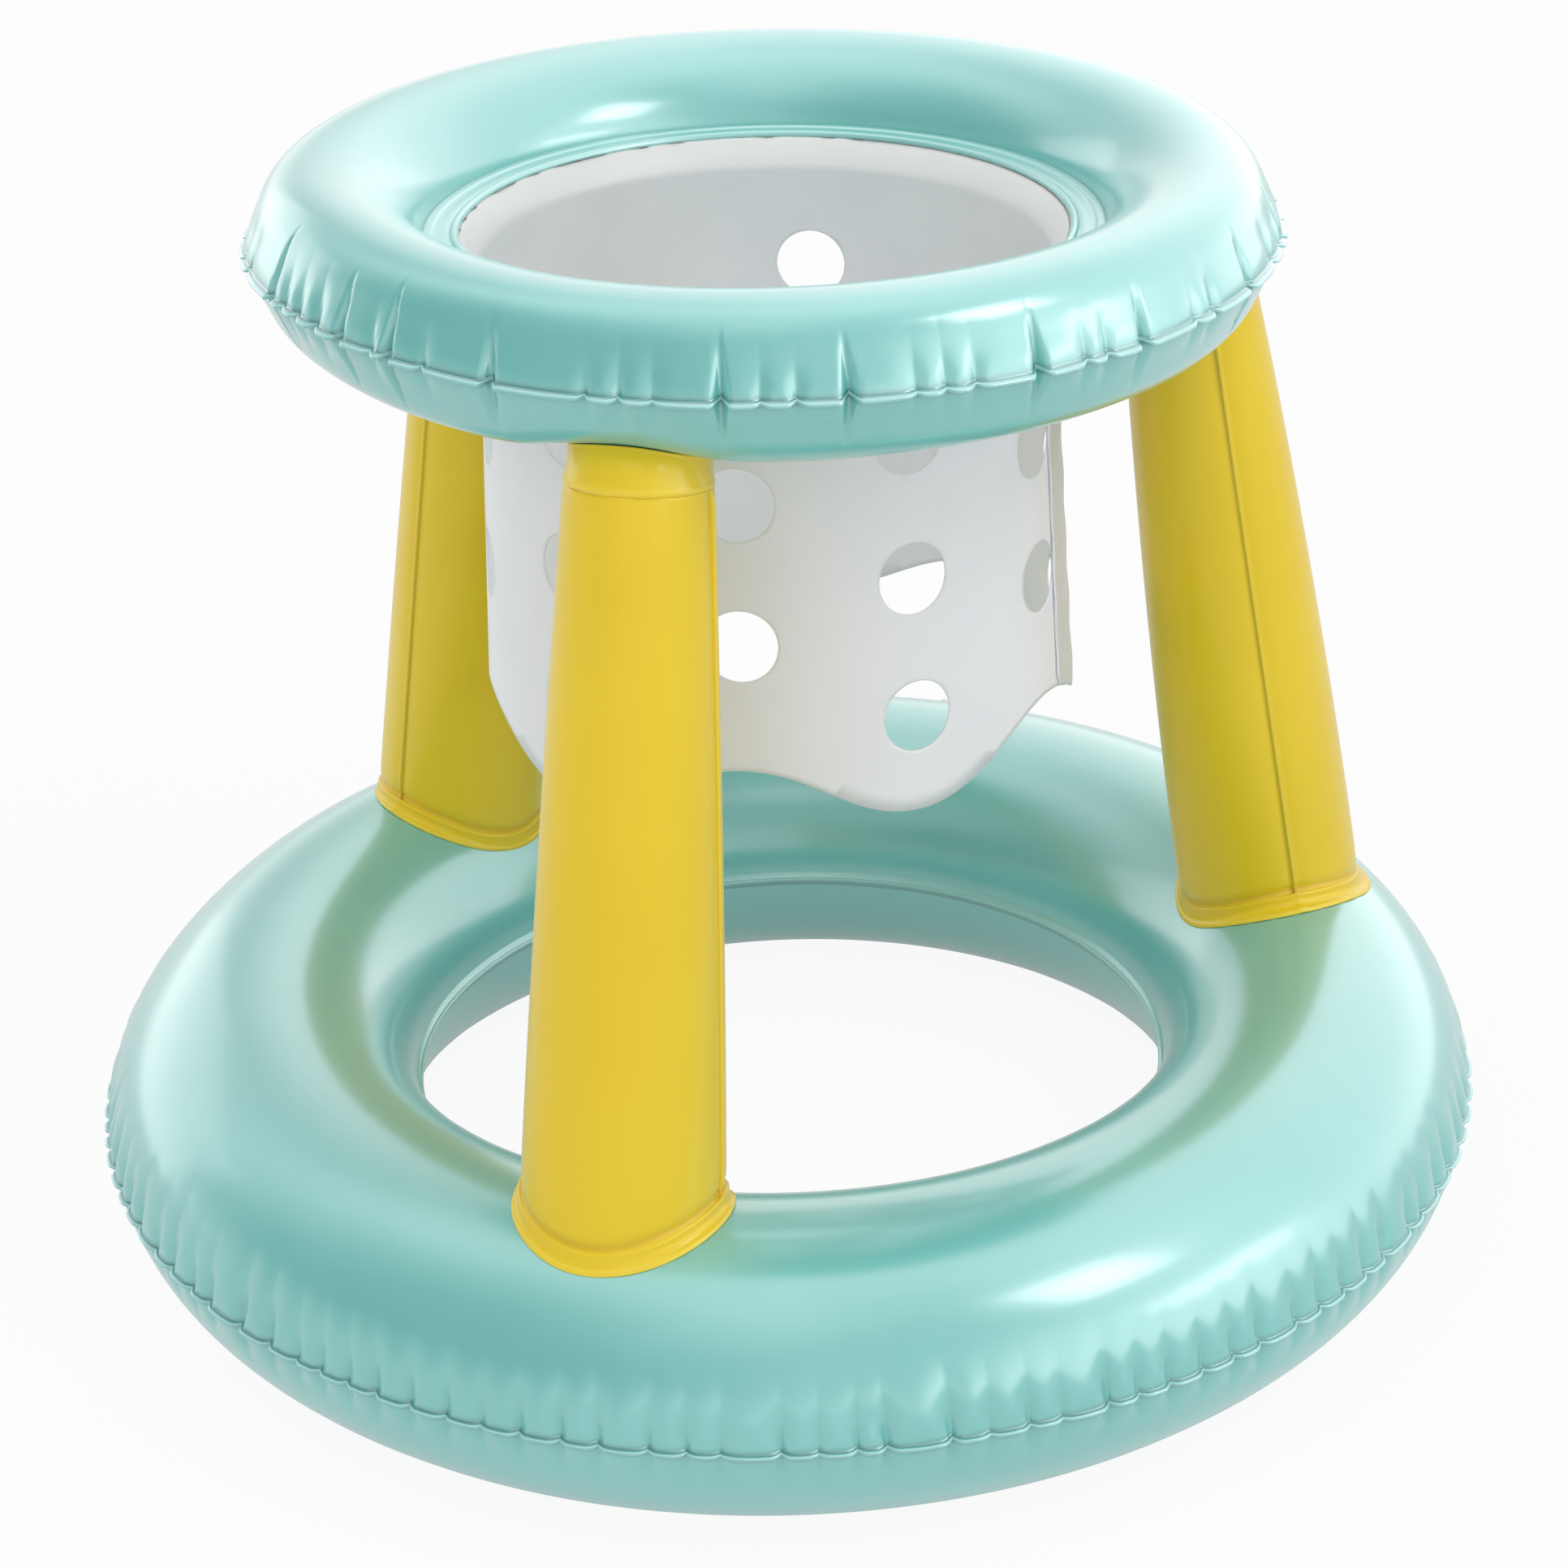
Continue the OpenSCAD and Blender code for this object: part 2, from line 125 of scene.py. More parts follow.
# %% Grid to mesh
def grid_faces(nu, nv, wrap_u, wrap_v):
    """Corner numbers of the quads between the points of an nu by nv grid, row by row."""
    u = np.arange(nu if wrap_u else nu - 1)[:, None]
    v = np.arange(nv if wrap_v else nv - 1)[None, :]
    u2, v2 = (u + 1) % nu, (v + 1) % nv
    corners = [u * nv + v, u2 * nv + v, u2 * nv + v2, u * nv + v2]
    return np.stack([np.broadcast_to(c, (u.size, v.size)).ravel() for c in corners], -1)


def corners(points, quads):
    """The four corner points of every quad."""
    return (points[quads[:, i]] for i in range(4))


def signed_volume(points, quads):
    """Sum over all triangles of the volume between the triangle and the origin."""
    a, b, c, d = corners(points, quads)
    return float((np.cross(a, b) * c).sum() + (np.cross(a, c) * d).sum()) / 6.0


def make_mesh(name, points, quads, fields=None, closed=True):
    """A smooth mesh object at the origin from points in millimetres, quads, and one value a point
    for each named field. A closed surface whose volume is negative has its quads turned round, and
    a point that isn't a number stops the script."""
    if not np.isfinite(points).all():
        raise ValueError(f"{name}: {int((~np.isfinite(points)).any(-1).sum())} points aren't numbers")
    if closed and signed_volume(points, quads) < 0:
        quads = quads[:, ::-1]
    mesh = bpy.data.meshes.new(name)
    mesh.vertices.add(len(points))
    mesh.vertices.foreach_set("co", (points * MM).astype(np.float32).ravel())
    mesh.loops.add(quads.size)
    mesh.loops.foreach_set("vertex_index", quads.astype(np.int32).ravel())
    mesh.polygons.add(len(quads))
    mesh.polygons.foreach_set("loop_start", np.arange(0, quads.size, 4, dtype=np.int32))
    mesh.update(calc_edges=True)
    mesh.polygons.foreach_set("use_smooth", np.ones(len(quads), bool))
    for field, values in (fields or {}).items():
        layer = mesh.attributes.new(field, "FLOAT", "POINT")
        layer.data.foreach_set("value", np.asarray(values, np.float32).ravel())
    obj = bpy.data.objects.new(name, mesh)
    bpy.context.scene.collection.objects.link(obj)
    print(f"{name}: {len(points)} points, {2 * len(quads)} triangles")
    return obj


def loop_mesh(name, points, fields):
    """A mesh from a grid that closes on itself in both directions."""
    quads = grid_faces(*points.shape[:2], True, True)
    return make_mesh(name, points.reshape(-1, 3), quads, fields)


# %% [markdown]
# Most small shapes in this lesson are sums of a few simple curves.

# %% Curves
def wrapped(degrees):
    """An angle in degrees brought between -180 and 180."""
    return (degrees + 180.0) % 360.0 - 180.0


def bell(x, width, power=2):
    """exp(-(x / width)^power), which is 1 in the middle and falls off on both sides."""
    return np.exp(-((x / width) ** power))


def ramp(x):
    """0 below 0, 1 above 1, and x between."""
    return np.clip(x, 0.0, 1.0)


def smooth_step(x):
    """0 below 0, 1 above 1, and 3 x^2 - 2 x^3 between."""
    x = ramp(x)
    return x * x * (3 - 2 * x)


def direction(azimuth, rise):
    """Unit vector towards an azimuth and a rise above the horizon, in degrees."""
    a, e = math.radians(azimuth), math.radians(rise)
    return math.cos(a) * math.cos(e), math.sin(a) * math.cos(e), math.sin(e)


# %% [markdown]
# ## Shader helper
# Each finish is a small node graph. The helper adds a node and fills its inputs, so that a finish
# reads as a short list. Values that are the same all over a piece are set on the shader itself.

# %% Shader helper
class Nodes:
    """A node tree that is built up node by node."""

    def __init__(self, tree):
        self.tree = tree

    def add(self, kind, inputs=None, **settings):
        """Adds one node, sets its options, and links or fills its inputs by name or number."""
        node = self.tree.nodes.new(kind)
        for key, value in settings.items():
            setattr(node, key, value)
        self.fill(node, inputs or {})
        return node

    def fill(self, node, inputs):
        """Links an input that is given a socket, and sets one that is given a value."""
        for key, value in inputs.items():
            if isinstance(value, bpy.types.NodeSocket):
                self.tree.links.new(value, node.inputs[key])
            else:
                node.inputs[key].default_value = value

    def math(self, operation, first, second):
        """One step of arithmetic with two values."""
        return self.add("ShaderNodeMath", {0: first, 1: second}, operation=operation).outputs[0]


class Finish(Nodes):
    """A new material's node tree, its shader and the place on the piece."""

    def __init__(self, name):
        self.material = bpy.data.materials.new(name)
        self.material.use_nodes = True
        super().__init__(self.material.node_tree)
        self.shader = self.tree.nodes["Principled BSDF"]
        self.place = self.add("ShaderNodeTexCoord").outputs["Object"]

    def noise(self, scale, detail=2.0, rough=0.5):
        """Cloudy values of about 0.3 to 0.7 in the object's own space."""
        node = self.add("ShaderNodeTexNoise", {"Vector": self.place, "Scale": scale, "Detail": detail,
                                               "Roughness": rough})
        return node.outputs["Fac"]

    def spread(self, value, low, high, out_low=0.0, out_high=1.0):
        """Stretches a value between low and high to the range that is wanted."""
        node = self.add("ShaderNodeMapRange", {0: value, 1: low, 2: high, 3: out_low, 4: out_high})
        return node.outputs[0]

    def mix(self, share, first, second):
        """A colour between two colours."""
        node = self.add("ShaderNodeMix", {0: share, 6: first, 7: second}, data_type="RGBA", clamp_factor=True)
        return node.outputs[2]

    def cloud(self, scale, low, high):
        """A colour that wanders between two colours in soft clouds."""
        return self.mix(self.spread(self.noise(scale, 3.0), 0.35, 0.65), low, high)

    def field(self, name):
        """The piece's own value of that name."""
        return self.add("ShaderNodeAttribute", attribute_name=name).outputs["Fac"]

    def bump(self, height, depth, onto=None):
        """A normal tilted by a height pattern, depth in millimetres."""
        node = self.add("ShaderNodeBump", {"Height": height, "Distance": depth * MM, "Strength": 1.0})
        if onto is not None:
            self.tree.links.new(onto, node.inputs["Normal"])
        return node.outputs["Normal"]


def srgb(r, g, b):
    """A colour given as 0 to 255 on screen, as the shader's linear values."""
    c = np.array([r, g, b]) / 255.0
    return (*np.where(c <= 0.04045, c / 12.92, ((c + 0.055) / 1.055) ** 2.4).tolist(), 1.0)


# %% [markdown]
# ## Vinyl
# Calendered vinyl has a slightly cloudy colour, a satin base under a clear gloss, and a very fine
# orange-peel surface that breaks up reflections. The meshes carry a field called weld that is 1 on
# the welds, where the colour is painted lighter for the light that shines through the thin pressed
# film, and a second field that paints shade into the fold at a weld's root.

# %% Coloured vinyl
def coloured_vinyl(name, low, high, weld_glow_colour, root_shade_colour, rough, satin, gloss, haze):
    """Colour wanders between low and high in soft clouds. Where the weld field is 1 it turns to the
    third colour, a lighter tone painted for the light that shines through the thin welded film, and in
    the fold at a weld's root to the fourth colour, painted shade. satin is the strength of the base's
    own shine, gloss that of the clear layer, haze pales grazing edges, and the peel is a fine bump."""
    f = Finish(name)
    skin = f.cloud(9.0, low, high)
    # Painted light: welds are painted lighter for light shining through the thin film, and the fold at a weld's
    # root is painted darker as shade.
    colour = f.mix(f.field("root_shade"), f.mix(f.field("weld"), skin, weld_glow_colour), root_shade_colour)
    normal = f.bump(f.noise(420.0, 1.0), 0.010, f.bump(f.noise(55.0, 2.0), 0.12))
    f.fill(f.shader, {"Base Color": colour, "Roughness": rough, "Normal": normal,
                      "Specular IOR Level": satin, "Coat Weight": gloss, "Coat Roughness": 0.19,
                      "Coat IOR": 1.9, "Sheen Weight": haze, "Sheen Roughness": 0.4})
    return f.material


# Each finish's third colour is the painted lighter weld tone and its fourth the painted shade in the fold at a
# weld's root.
teal_vinyl = coloured_vinyl("teal_vinyl", srgb(98, 187, 181), srgb(108, 193, 188), srgb(136, 206, 201),
                            srgb(52, 132, 130), 0.35, 1.0, 1.0, 0.05)
yellow_vinyl = coloured_vinyl("yellow_vinyl", srgb(230, 197, 16), srgb(234, 202, 24), srgb(236, 208, 52),
                              srgb(196, 152, 10), 0.40, 0.25, 0.25, 0.24)
print("finishes:", [m.name for m in bpy.data.materials])

# %% [markdown]
# The net is a thicker, matt white film. It is slightly translucent, so it gets some scattering, and
# its faint cloudiness shows only at a grazing light.

# %% White film and valve plastic
def white_film():
    """Nearly white with a faint warm cloud, satin, with a little light scattering inside."""
    f = Finish("white_vinyl")
    skin = f.cloud(14.0, srgb(228, 227, 233), srgb(235, 233, 238))
    # Painted light: where the weld field is 1, at the mouth, the film is painted lighter for the light that the
    # upturned band catches.
    colour = f.mix(f.field("weld"), skin, srgb(243, 240, 240))
    normal = f.bump(f.noise(900.0, 1.0), 0.015, f.bump(f.noise(60.0, 2.0), 0.18))
    f.fill(f.shader, {"Base Color": colour, "Normal": normal,
                      "Roughness": f.spread(f.noise(40.0, 3.0), 0.3, 0.7, 0.40, 0.50),
                      "Subsurface Weight": 0.9, "Subsurface Scale": 0.004,
                      "Subsurface Radius": (1.0, 1.0, 1.0), "Coat Weight": 0.15, "Coat Roughness": 0.25})
    return f.material


def clear_plastic():
    """Milky moulded vinyl with a faint blue cloud and a fine moulded grain."""
    f = Finish("valve_vinyl")
    skin = f.cloud(120.0, srgb(205, 222, 222), srgb(222, 234, 233))
    normal = f.bump(f.noise(2200.0, 2.0), 0.01, f.bump(f.noise(300.0, 2.0), 0.04))
    f.fill(f.shader, {"Base Color": skin, "Normal": normal,
                      "Roughness": f.spread(f.noise(200.0, 3.0), 0.3, 0.7, 0.22, 0.34),
                      "Subsurface Weight": 0.3, "Subsurface Scale": 0.003,
                      "Subsurface Radius": (1.0, 1.0, 1.0), "Coat Weight": 0.4, "Coat Roughness": 0.12})
    return f.material


white_vinyl, valve_vinyl = white_film(), clear_plastic()
FINISH = dict(teal_vinyl=teal_vinyl, yellow_vinyl=yellow_vinyl, white_vinyl=white_vinyl)

# %% [markdown]
# ## A tube's section
# The section of an inflated ring is close to an ellipse, a little flattened. The hoop's tube runs
# into a flat web on its inside, so there its section narrows more sharply. The angle a runs from
# the outer weld over the crest to the inner weld.

# %% Section of a tube
def section(ring, a):
    """Radius, height above the weld plane, and the two parts of the outward normal. Outside the
    crest the section is crest + width cos a, height sin a; inside it sin a is raised to a power."""
    c, s = np.cos(a), np.maximum(np.sin(a), 1e-6)
    width = np.where(c >= 0, ring["out"], ring["inn"])
    power = np.where(c >= 0, 1.0, ring["pinch"])
    rho, z = ring["crest"] + width * c, ring["half"] * s ** power
    n_rho, n_z = ring["half"] * power * s ** (power - 1) * c, width * s
    size = np.hypot(n_rho, n_z)
    return rho, z, n_rho / size, n_z / size


def section_at(ring, along):
    """The section at given lengths along the skin from the outer weld. The length is added up in
    small steps from where the skin is one film above the weld plane, and looked up backwards."""
    first = math.asin(FILM / ring["half"])
    last = math.pi - math.asin((FILM / ring["half"]) ** (1 / ring["pinch"]))
    a = np.linspace(first, last, 4000)
    rho, z, _, _ = section(ring, a)
    run = np.concatenate([[0.0], np.cumsum(np.hypot(np.diff(rho), np.diff(z)))])
    along = np.minimum(along, run[-1]) if along is not None else run[-1:]
    return (*section(ring, np.interp(along, run, a)), run[-1])


for name, ring in (("base", BASE), ("hoop", HOOP)):
    print(name, "skin from weld to weld:", round(section_at(ring, None)[-1], 1), "mm")

# %% [markdown]
# ## Where the sheets pucker
# A ring is welded from two flat sheets. When it fills with air its outer edge is drawn inward, so
# there is too much sheet along the outer weld and it gathers in creases, with small pillows
# between them. Each crease has a direction, a depth at the weld and a reach up the tube. The
# creases in front are placed one by one and the others by a seeded random generator.

# %% Crease directions
rng = np.random.default_rng(7)


def fill_round(known, gap_low, gap_high, first=None, keep_off=()):
    """Sorted crease directions: the known ones, and random ones that go on from the last known one
    round to the first, each a random gap from the one before, none within keep_off's ranges."""
    known = sorted(known)
    first = known[0] if first is None else first
    more, at = [], known[-1]
    while True:
        at += rng.uniform(gap_low, gap_high)
        if at > first + 360.0 - gap_low * 0.8:
            break
        if not any(abs(wrapped(at - c)) < w for c, w in keep_off):
            more.append(at)
    return np.sort(wrapped(np.array(known + more)))


base_known = [-155.6, -153.2, -150.8, -147.5, -144.3, -141.5, -138.2, -134.3, -131.3, -127.8, -125.2,
              -121.0, -117.4, -114.2, -111.8, -109.1, -106.4, -103.3, -100.2, -97.2, -94.2, -91.0,
              -88.1, -84.4, -81.6, -79.1, -74.7, -72.0, -69.2, -67.0, -62.2, -59.4, -56.3, -53.8,
              -49.9, -47.4, -44.7, -41.7, -38.7, -36.0, -32.1, -29.2, -26.2, -23.2, -20.3, -15.8,
              -13.3, -9.6, -6.3, -2.3, 1.0, 4.5]
base_strong = [-67.0, -62.2, -49.9, -153.2, -147.5, -121.0, -20.3]
base_mild = [-134.3, -114.2, -97.2, -79.1, -72.0, -59.4, -53.8, -13.3]
base_at = fill_round(base_known, 2.3, 4.7, keep_off=[(VALVE_AZ, 3.6)])
base_depth = rng.uniform(3.0, 4.0, len(base_at))
base_depth[np.isin(np.round(base_at, 1), base_strong)] = 4.8
base_depth[np.isin(np.round(base_at, 1), base_mild)] = 2.0
print("base creases:", len(base_at))

# %% Deep darts and small ticks of the hoop
deep_known = [-138.2, -123.1, -115.5, -102.4, -78.0, -65.2, -44.9, -31.3, -10.1, 7.1]
tick_known = [-161.5, -153.6, -148.8, -134.9, -131.5, -127.6, -117.9, -110.7, -91.8, -88.3, -84.8,
              -74.1, -70.5, -58.5, -55.4, -52.2, -39.2, -36.3, -22.5, -18.8, -1.3]
deep_at = fill_round(deep_known, 10.5, 15.0, first=-164.0, keep_off=[(VALVE_AZ, 9.0)])
tick_at = fill_round(tick_known, 3.2, 6.2, keep_off=[(VALVE_AZ, 6.0)] + [(a, 2.6) for a in deep_at])
hoop_at = np.concatenate([deep_at, tick_at])
hoop_is_deep = np.isin(hoop_at, deep_at)
hoop_depth = [rng.uniform(*limits, len(hoop_at)) for limits in ((4.6, 6.0), (1.0, 2.1))]
hoop_depth = np.where(hoop_is_deep, *hoop_depth)
hoop_depth[np.isclose(hoop_at, -115.5)] = 5.0
hoop_depth[np.isclose(hoop_at, -18.8)] = 2.8
order = np.argsort(hoop_at)
hoop_at, hoop_is_deep, hoop_depth = hoop_at[order], hoop_is_deep[order], hoop_depth[order]
print("hoop creases:", len(deep_at), "deep,", len(tick_at), "small")

# %% [markdown]
# A crease is only two or three millimetres wide and a ring is two metres round, so evenly spaced
# points would be wasted on the smooth parts. The directions of the grid are therefore bunched
# towards each crease.

# %% Grid directions bunched at the creases
def bunched(at, steps):
    """Directions in radians: from each crease to the next one at the fractions in steps."""
    at = np.sort(at)
    gap = np.diff(np.concatenate([at, at[:1] + 360.0]))
    return np.radians((at[:, None] + gap[:, None] * np.array(steps)[None, :]).ravel())


def between(theta, at):
    """For each direction: its share of the way from one crease to the next, and that gap in
    degrees."""
    at = np.sort(at)
    deg = np.degrees(theta)
    ring = np.concatenate([at, at[:1] + 360.0])
    turned = (deg - at[0]) % 360.0 + at[0]
    k = np.clip(np.searchsorted(ring, turned, side="right") - 1, 0, len(at) - 1)
    gap = ring[k + 1] - ring[k]
    return (turned - ring[k]) / gap, gap


# %% [markdown]
# ## Depth of the creases on the skin
# The skin is moved along its own normal by a depth that depends on the direction and on how far
# the point is from the outer weld. A base crease is a groove with a sharp bottom that widens and
# fades as it climbs. A deep crease of the hoop is a dart: widest and deepest at the weld, with a
# crisp rim on both sides that meet in a point.

# %% Parts of a crease
def round_ring(theta, centre, radius):
    """Millimetres round the ring from a direction given in degrees."""
    return wrapped(np.degrees(theta) - centre) * math.pi / 180.0 * radius


def mask_valve(theta, radius, half_width=17.0):
    """0 near the valve's direction and 1 away from it, with a smooth change over its own width."""
    off = np.abs(round_ring(theta, VALVE_AZ, radius))
    return smooth_step((off - half_width) / half_width)[:, None]


def pillows(theta, along, reach, at, radius, slope, most):
    """Between two creases the skin stands out by 4 t (1 - t) times a rise, which is slope times the
    gap and no more than most. It fades as a bell curve along the skin."""
    t, gap = between(theta, at)
    rise = np.minimum(slope * np.radians(gap) * radius, most)
    return -(4 * t * (1 - t) * rise)[:, None] * bell(along, 0.5 * reach)[None, :]


# %% Depth of the base ring's creases
def base_creases(rng, theta, along, reach):
    """Inward depth for every direction and every length along the skin. Each crease adds its depth
    times exp(-|x / width|^1.2) across and a falling curve along, less a low rim on both sides. The
    left side, 170 degrees round, is a little slack."""
    radius = BASE["crest"] + BASE["out"]
    depth = pillows(theta, along, reach, base_at, radius, 0.065, 1.5)
    lean = rng.uniform(-0.10, 0.10, len(base_at))
    long = rng.uniform(0.8, 1.15, len(base_at)) * reach
    width = 2.1 + 2.9 * np.minimum(along / 13.0, 1.0)
    for k in range(len(base_at)):
        x = round_ring(theta, base_at[k], radius)
        near = np.abs(x) < 22.0
        u = np.abs(x[near][:, None] - lean[k] * along[None, :]) / width[None, :]
        fall = ramp(1.0 - along / long[k]) ** 1.5 * (0.5 + 0.5 * np.minimum(along / 7.0, 1.0))
        rim = 0.12 * bell(u - 2.0, 0.7)
        depth[near] += base_depth[k] * fall[None, :] * (np.exp(-(u ** 1.2)) - rim)
    slack = 3.0 * bell(wrapped(np.degrees(theta) + 170.0), 24.0)
    depth += slack[:, None] * bell(along - 58.0, 30.0)[None, :]
    return depth * mask_valve(theta, radius)


# %% Depth of the hoop ring's creases
def hoop_creases(rng, theta, along, reach):
    """Inward depth like the base ring's. A deep crease falls in a straight line across, from its
    middle to a rim whose distance shrinks with the height; a small one is a soft groove."""
    radius = HOOP["crest"] + HOOP["out"]
    depth = pillows(theta, along, reach, hoop_at, radius, 0.055, 0.9)
    lean = rng.uniform(-0.08, 0.08, len(hoop_at))
    long = rng.uniform(0.85, 1.12, len(hoop_at))
    for k in range(len(hoop_at)):
        x = round_ring(theta, hoop_at[k], radius)
        near = np.abs(x) < 26.0
        off = np.abs(x[near][:, None] - lean[k] * along[None, :])
        if hoop_is_deep[k]:
            share = ramp(1.0 - along / (long[k] * reach))
            u = off / (0.8 + 2.9 * share)[None, :]
            across = ramp(1.0 - u) ** 1.15
            rim = 0.11 * bell(u - 1.25, 0.33) + 0.06 * bell(u - 2.2, 0.8)
            fall = share ** 1.25
        else:
            u = off / (1.9 + 2.2 * np.minimum(along / 10.0, 1.0))[None, :]
            across = np.exp(-(u ** 1.3))
            rim = 0.12 * bell(u - 2.0, 0.7)
            fall = ramp(1.0 - along / (0.62 * long[k] * reach)) ** 1.3
        depth[near] += hoop_depth[k] * fall[None, :] * (across - rim)
    depth += 2.5 * bell(along - 14.0, 13.0)[None, :]
    return depth * mask_valve(theta, radius)


# %% [markdown]
# ## One sheet of a ring
# A sheet is carried round the ring as a closed loop: over the outer weld flange, over the tube,
# over the inner flange, and back along its inside. Both sheets of a ring share the movement of
# the weld, so they meet without a gap.

# %% Loop of one sheet
ON_WEB = 1e3  # stands for the length along the skin of a point that is on the web


def sheet_loop(ring, along, out_weld, e_in, in_lift=None):
    """The points of a sheet's section in one loop: radius, height, normal, length along the skin,
    distance out on a flange, and a weld value. The outer face comes first, then the inner face."""
    rho, z, n_rho, n_z, _ = section_at(ring, along)
    r_out, r_in = ring["crest"] + ring["out"], ring["crest"] - ring["inn"]
    tip = np.array([1.0, 0.96, 0.82, 0.6, 0.3, 0.08]) * out_weld
    tip_z = np.array([0.08, 0.42, 0.66, 0.78, 0.8, 0.8])
    in_weld = e_in[-1]
    z_in = np.full(len(e_in), FILM) if in_lift is None else FILM + in_lift(e_in)
    z_in[-2:] = 0.5 * FILM, 0.06
    under = along[::4][::-1]
    u_rho, u_z, u_nr, u_nz, _ = section_at(ring, under)
    # The last column is the weld value, 1 on the flanges and the web, which the finish paints lighter for light
    # through the thin film.
    parts = [
        (r_out + tip, tip_z, 0.0, 1.0, 0.0, tip, 1.0),
        (rho, z, n_rho, n_z, along, 0.0, 0.0),
        (r_in - e_in, z_in, 0.0, 1.0, ON_WEB, 0.0, 1.0),
        (np.array([r_in - 0.4 * in_weld]), np.array([0.03]), 0.0, 1.0, ON_WEB, 0.0, 1.0),
        (u_rho - FILM * u_nr, np.maximum(u_z - FILM * u_nz, 0.03), u_nr, u_nz, under, 0.0, 0.0),
        (np.array([r_out + 0.4 * out_weld]), np.array([0.03]), 0.0, 1.0, 0.0, 0.4 * out_weld, 1.0),
    ]
    columns = []
    for part in parts:
        n = len(part[0])
        columns.append([np.broadcast_to(np.asarray(p, float), (n,)) for p in part])
    return [np.concatenate([c[i] for c in columns]) for i in range(7)]


def ring_sheet(ring, theta, loop, depth, side, droop, hook):
    """Carries a loop round the ring. Skin points move inward along their normal by the crease
    depth; flange points move with the weld, droop with their distance out, and at a crease are
    drawn in and up by hook. side is 1 for the upper sheet and -1 for the lower one."""
    rho, z, n_rho, n_z, along, out, weld = loop
    inward = np.where((along < ON_WEB)[None, :], depth, 0.0)
    flange = (out > 0)[None, :]
    big_rho = rho[None, :] - np.where(flange, 1.0, n_rho[None, :]) * inward
    big_z = side * (z[None, :] - np.where(flange, 0.0, n_z[None, :]) * inward)
    pull = ramp(depth[:, :1] / hook[0]) * (out / out.max())[None, :]
    big_rho = big_rho - np.where(flange, hook[1] * pull, 0.0)
    big_z = big_z - np.where(flange, droop * out[None, :] - hook[2] * pull, 0.0)
    world_z = np.maximum(ring["weld"] + big_z, 0.0 if side < 0 else -1e3)
    c, s = np.cos(theta)[:, None], np.sin(theta)[:, None]
    points = np.stack([big_rho * c, big_rho * s, world_z], -1)
    # Painted shade: this field darkens the skin beside the outer flange, where the tube folds into the weld.
    root_shade = np.where((along < ON_WEB) & (out < 0.35 * out.max()), bell(along, 1.5), 0.0)
    fields = {"weld": weld, "root_shade": 0.8 * root_shade}
    return points, {k: np.broadcast_to(v[None, :], big_rho.shape) for k, v in fields.items()}


# %% Pocket for a valve
def valve_axis(ring, rise):
    """Centre on the tube's surface and outward direction of a valve at that angle up the tube."""
    a = math.radians(rise)
    rho, z, n_rho, n_z = (float(x) for x in section(ring, np.array(a)))
    return np.array([0.0, rho, ring["weld"] + z]), np.array([0.0, n_rho, n_z])


def press_pocket(points, centre, normal, radius=9.3, deep=17.0):
    """Pushes every point within radius of the valve's axis straight in, so that the stem slides in
    a pocket and not through the skin. The valve's flange covers the edge of the pocket."""
    off = points - centre
    height = off @ normal
    aside = np.linalg.norm(off - height[..., None] * normal, axis=-1)
    inside = (aside < radius) & (np.abs(height) < 6.0)
    points[inside] -= deep * normal
    return int(inside.sum())


# %% [markdown]
# ## Base ring
# The base ring is about 66 cm across. Its outer weld stands out as a thin flange only two or three
# millimetres wide, and the tube is smooth and glossy above the creases.

# %% Make the base ring's two sheets
base_theta = bunched(base_at, [0.0, 0.035, 0.075, 0.12, 0.18, 0.26, 0.37, 0.5, 0.63, 0.74, 0.82, 0.88,
                               0.925, 0.965])
base_along = np.array([0, 1.2, 2.6, 4.2, 6, 8, 10.3, 13, 16, 19.3, 23, 27, 31.5, 36.5, 42, 48, 55, 63, 72, 82,
                       93, 105, 117, 129, 141, 152, 162, 172, 181, 190, 198, 205, 211, 216, 220, 223])
base_loop = sheet_loop(BASE, base_along, 2.2, np.array([0.3, 0.8, 1.4, 1.9, 2.2, 2.2]))


def put_on(obj, slot, node):
    """Gives a piece its finish, lets it ride on the inflated body and stand for its solid."""
    obj.data.materials.append(FINISH[slot])
    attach(obj, "inflatable")
    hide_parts(node)
    return obj


def make_ring(name, ring, theta, loops, creases, seed, reaches, droop, hook, valve_rise, bend=None):
    """Makes a ring's two sheets. reaches are the heights that their creases climb, and bend(points,
    side) moves the points of a sheet last. Both start the random numbers afresh."""
    made = {}
    for side, word, loop, reach in zip((1, -1), ("upper", "lower"), loops, reaches):
        depth = creases(np.random.default_rng(seed), theta, loop[4], reach)
        points, fields = ring_sheet(ring, theta, loop, depth, side, droop, hook)
        if side > 0:
            pressed = press_pocket(points, *valve_axis(ring, valve_rise))
            print(f"points in the {name} valve's pocket:", pressed)
        points = bend(points, side) if bend else points
        piece = loop_mesh(f"{name}_{word}_sheet", points, fields)
        made[word] = put_on(piece, "teal_vinyl", f"{name}_{word}_panel")
    return made


make_ring("base", BASE, base_theta, [base_loop] * 2, base_creases, 21, (36.0, 19.0), 0.0,
          (4.0, 0.6, 0.8), 35.0)

# %% [markdown]
# ## Hoop ring
# The hoop's tube is smaller, so its creases are fewer and deeper. Inside, the two sheets are welded
# flat into a web that ends in a rounded bead, and the net hangs from under that bead.

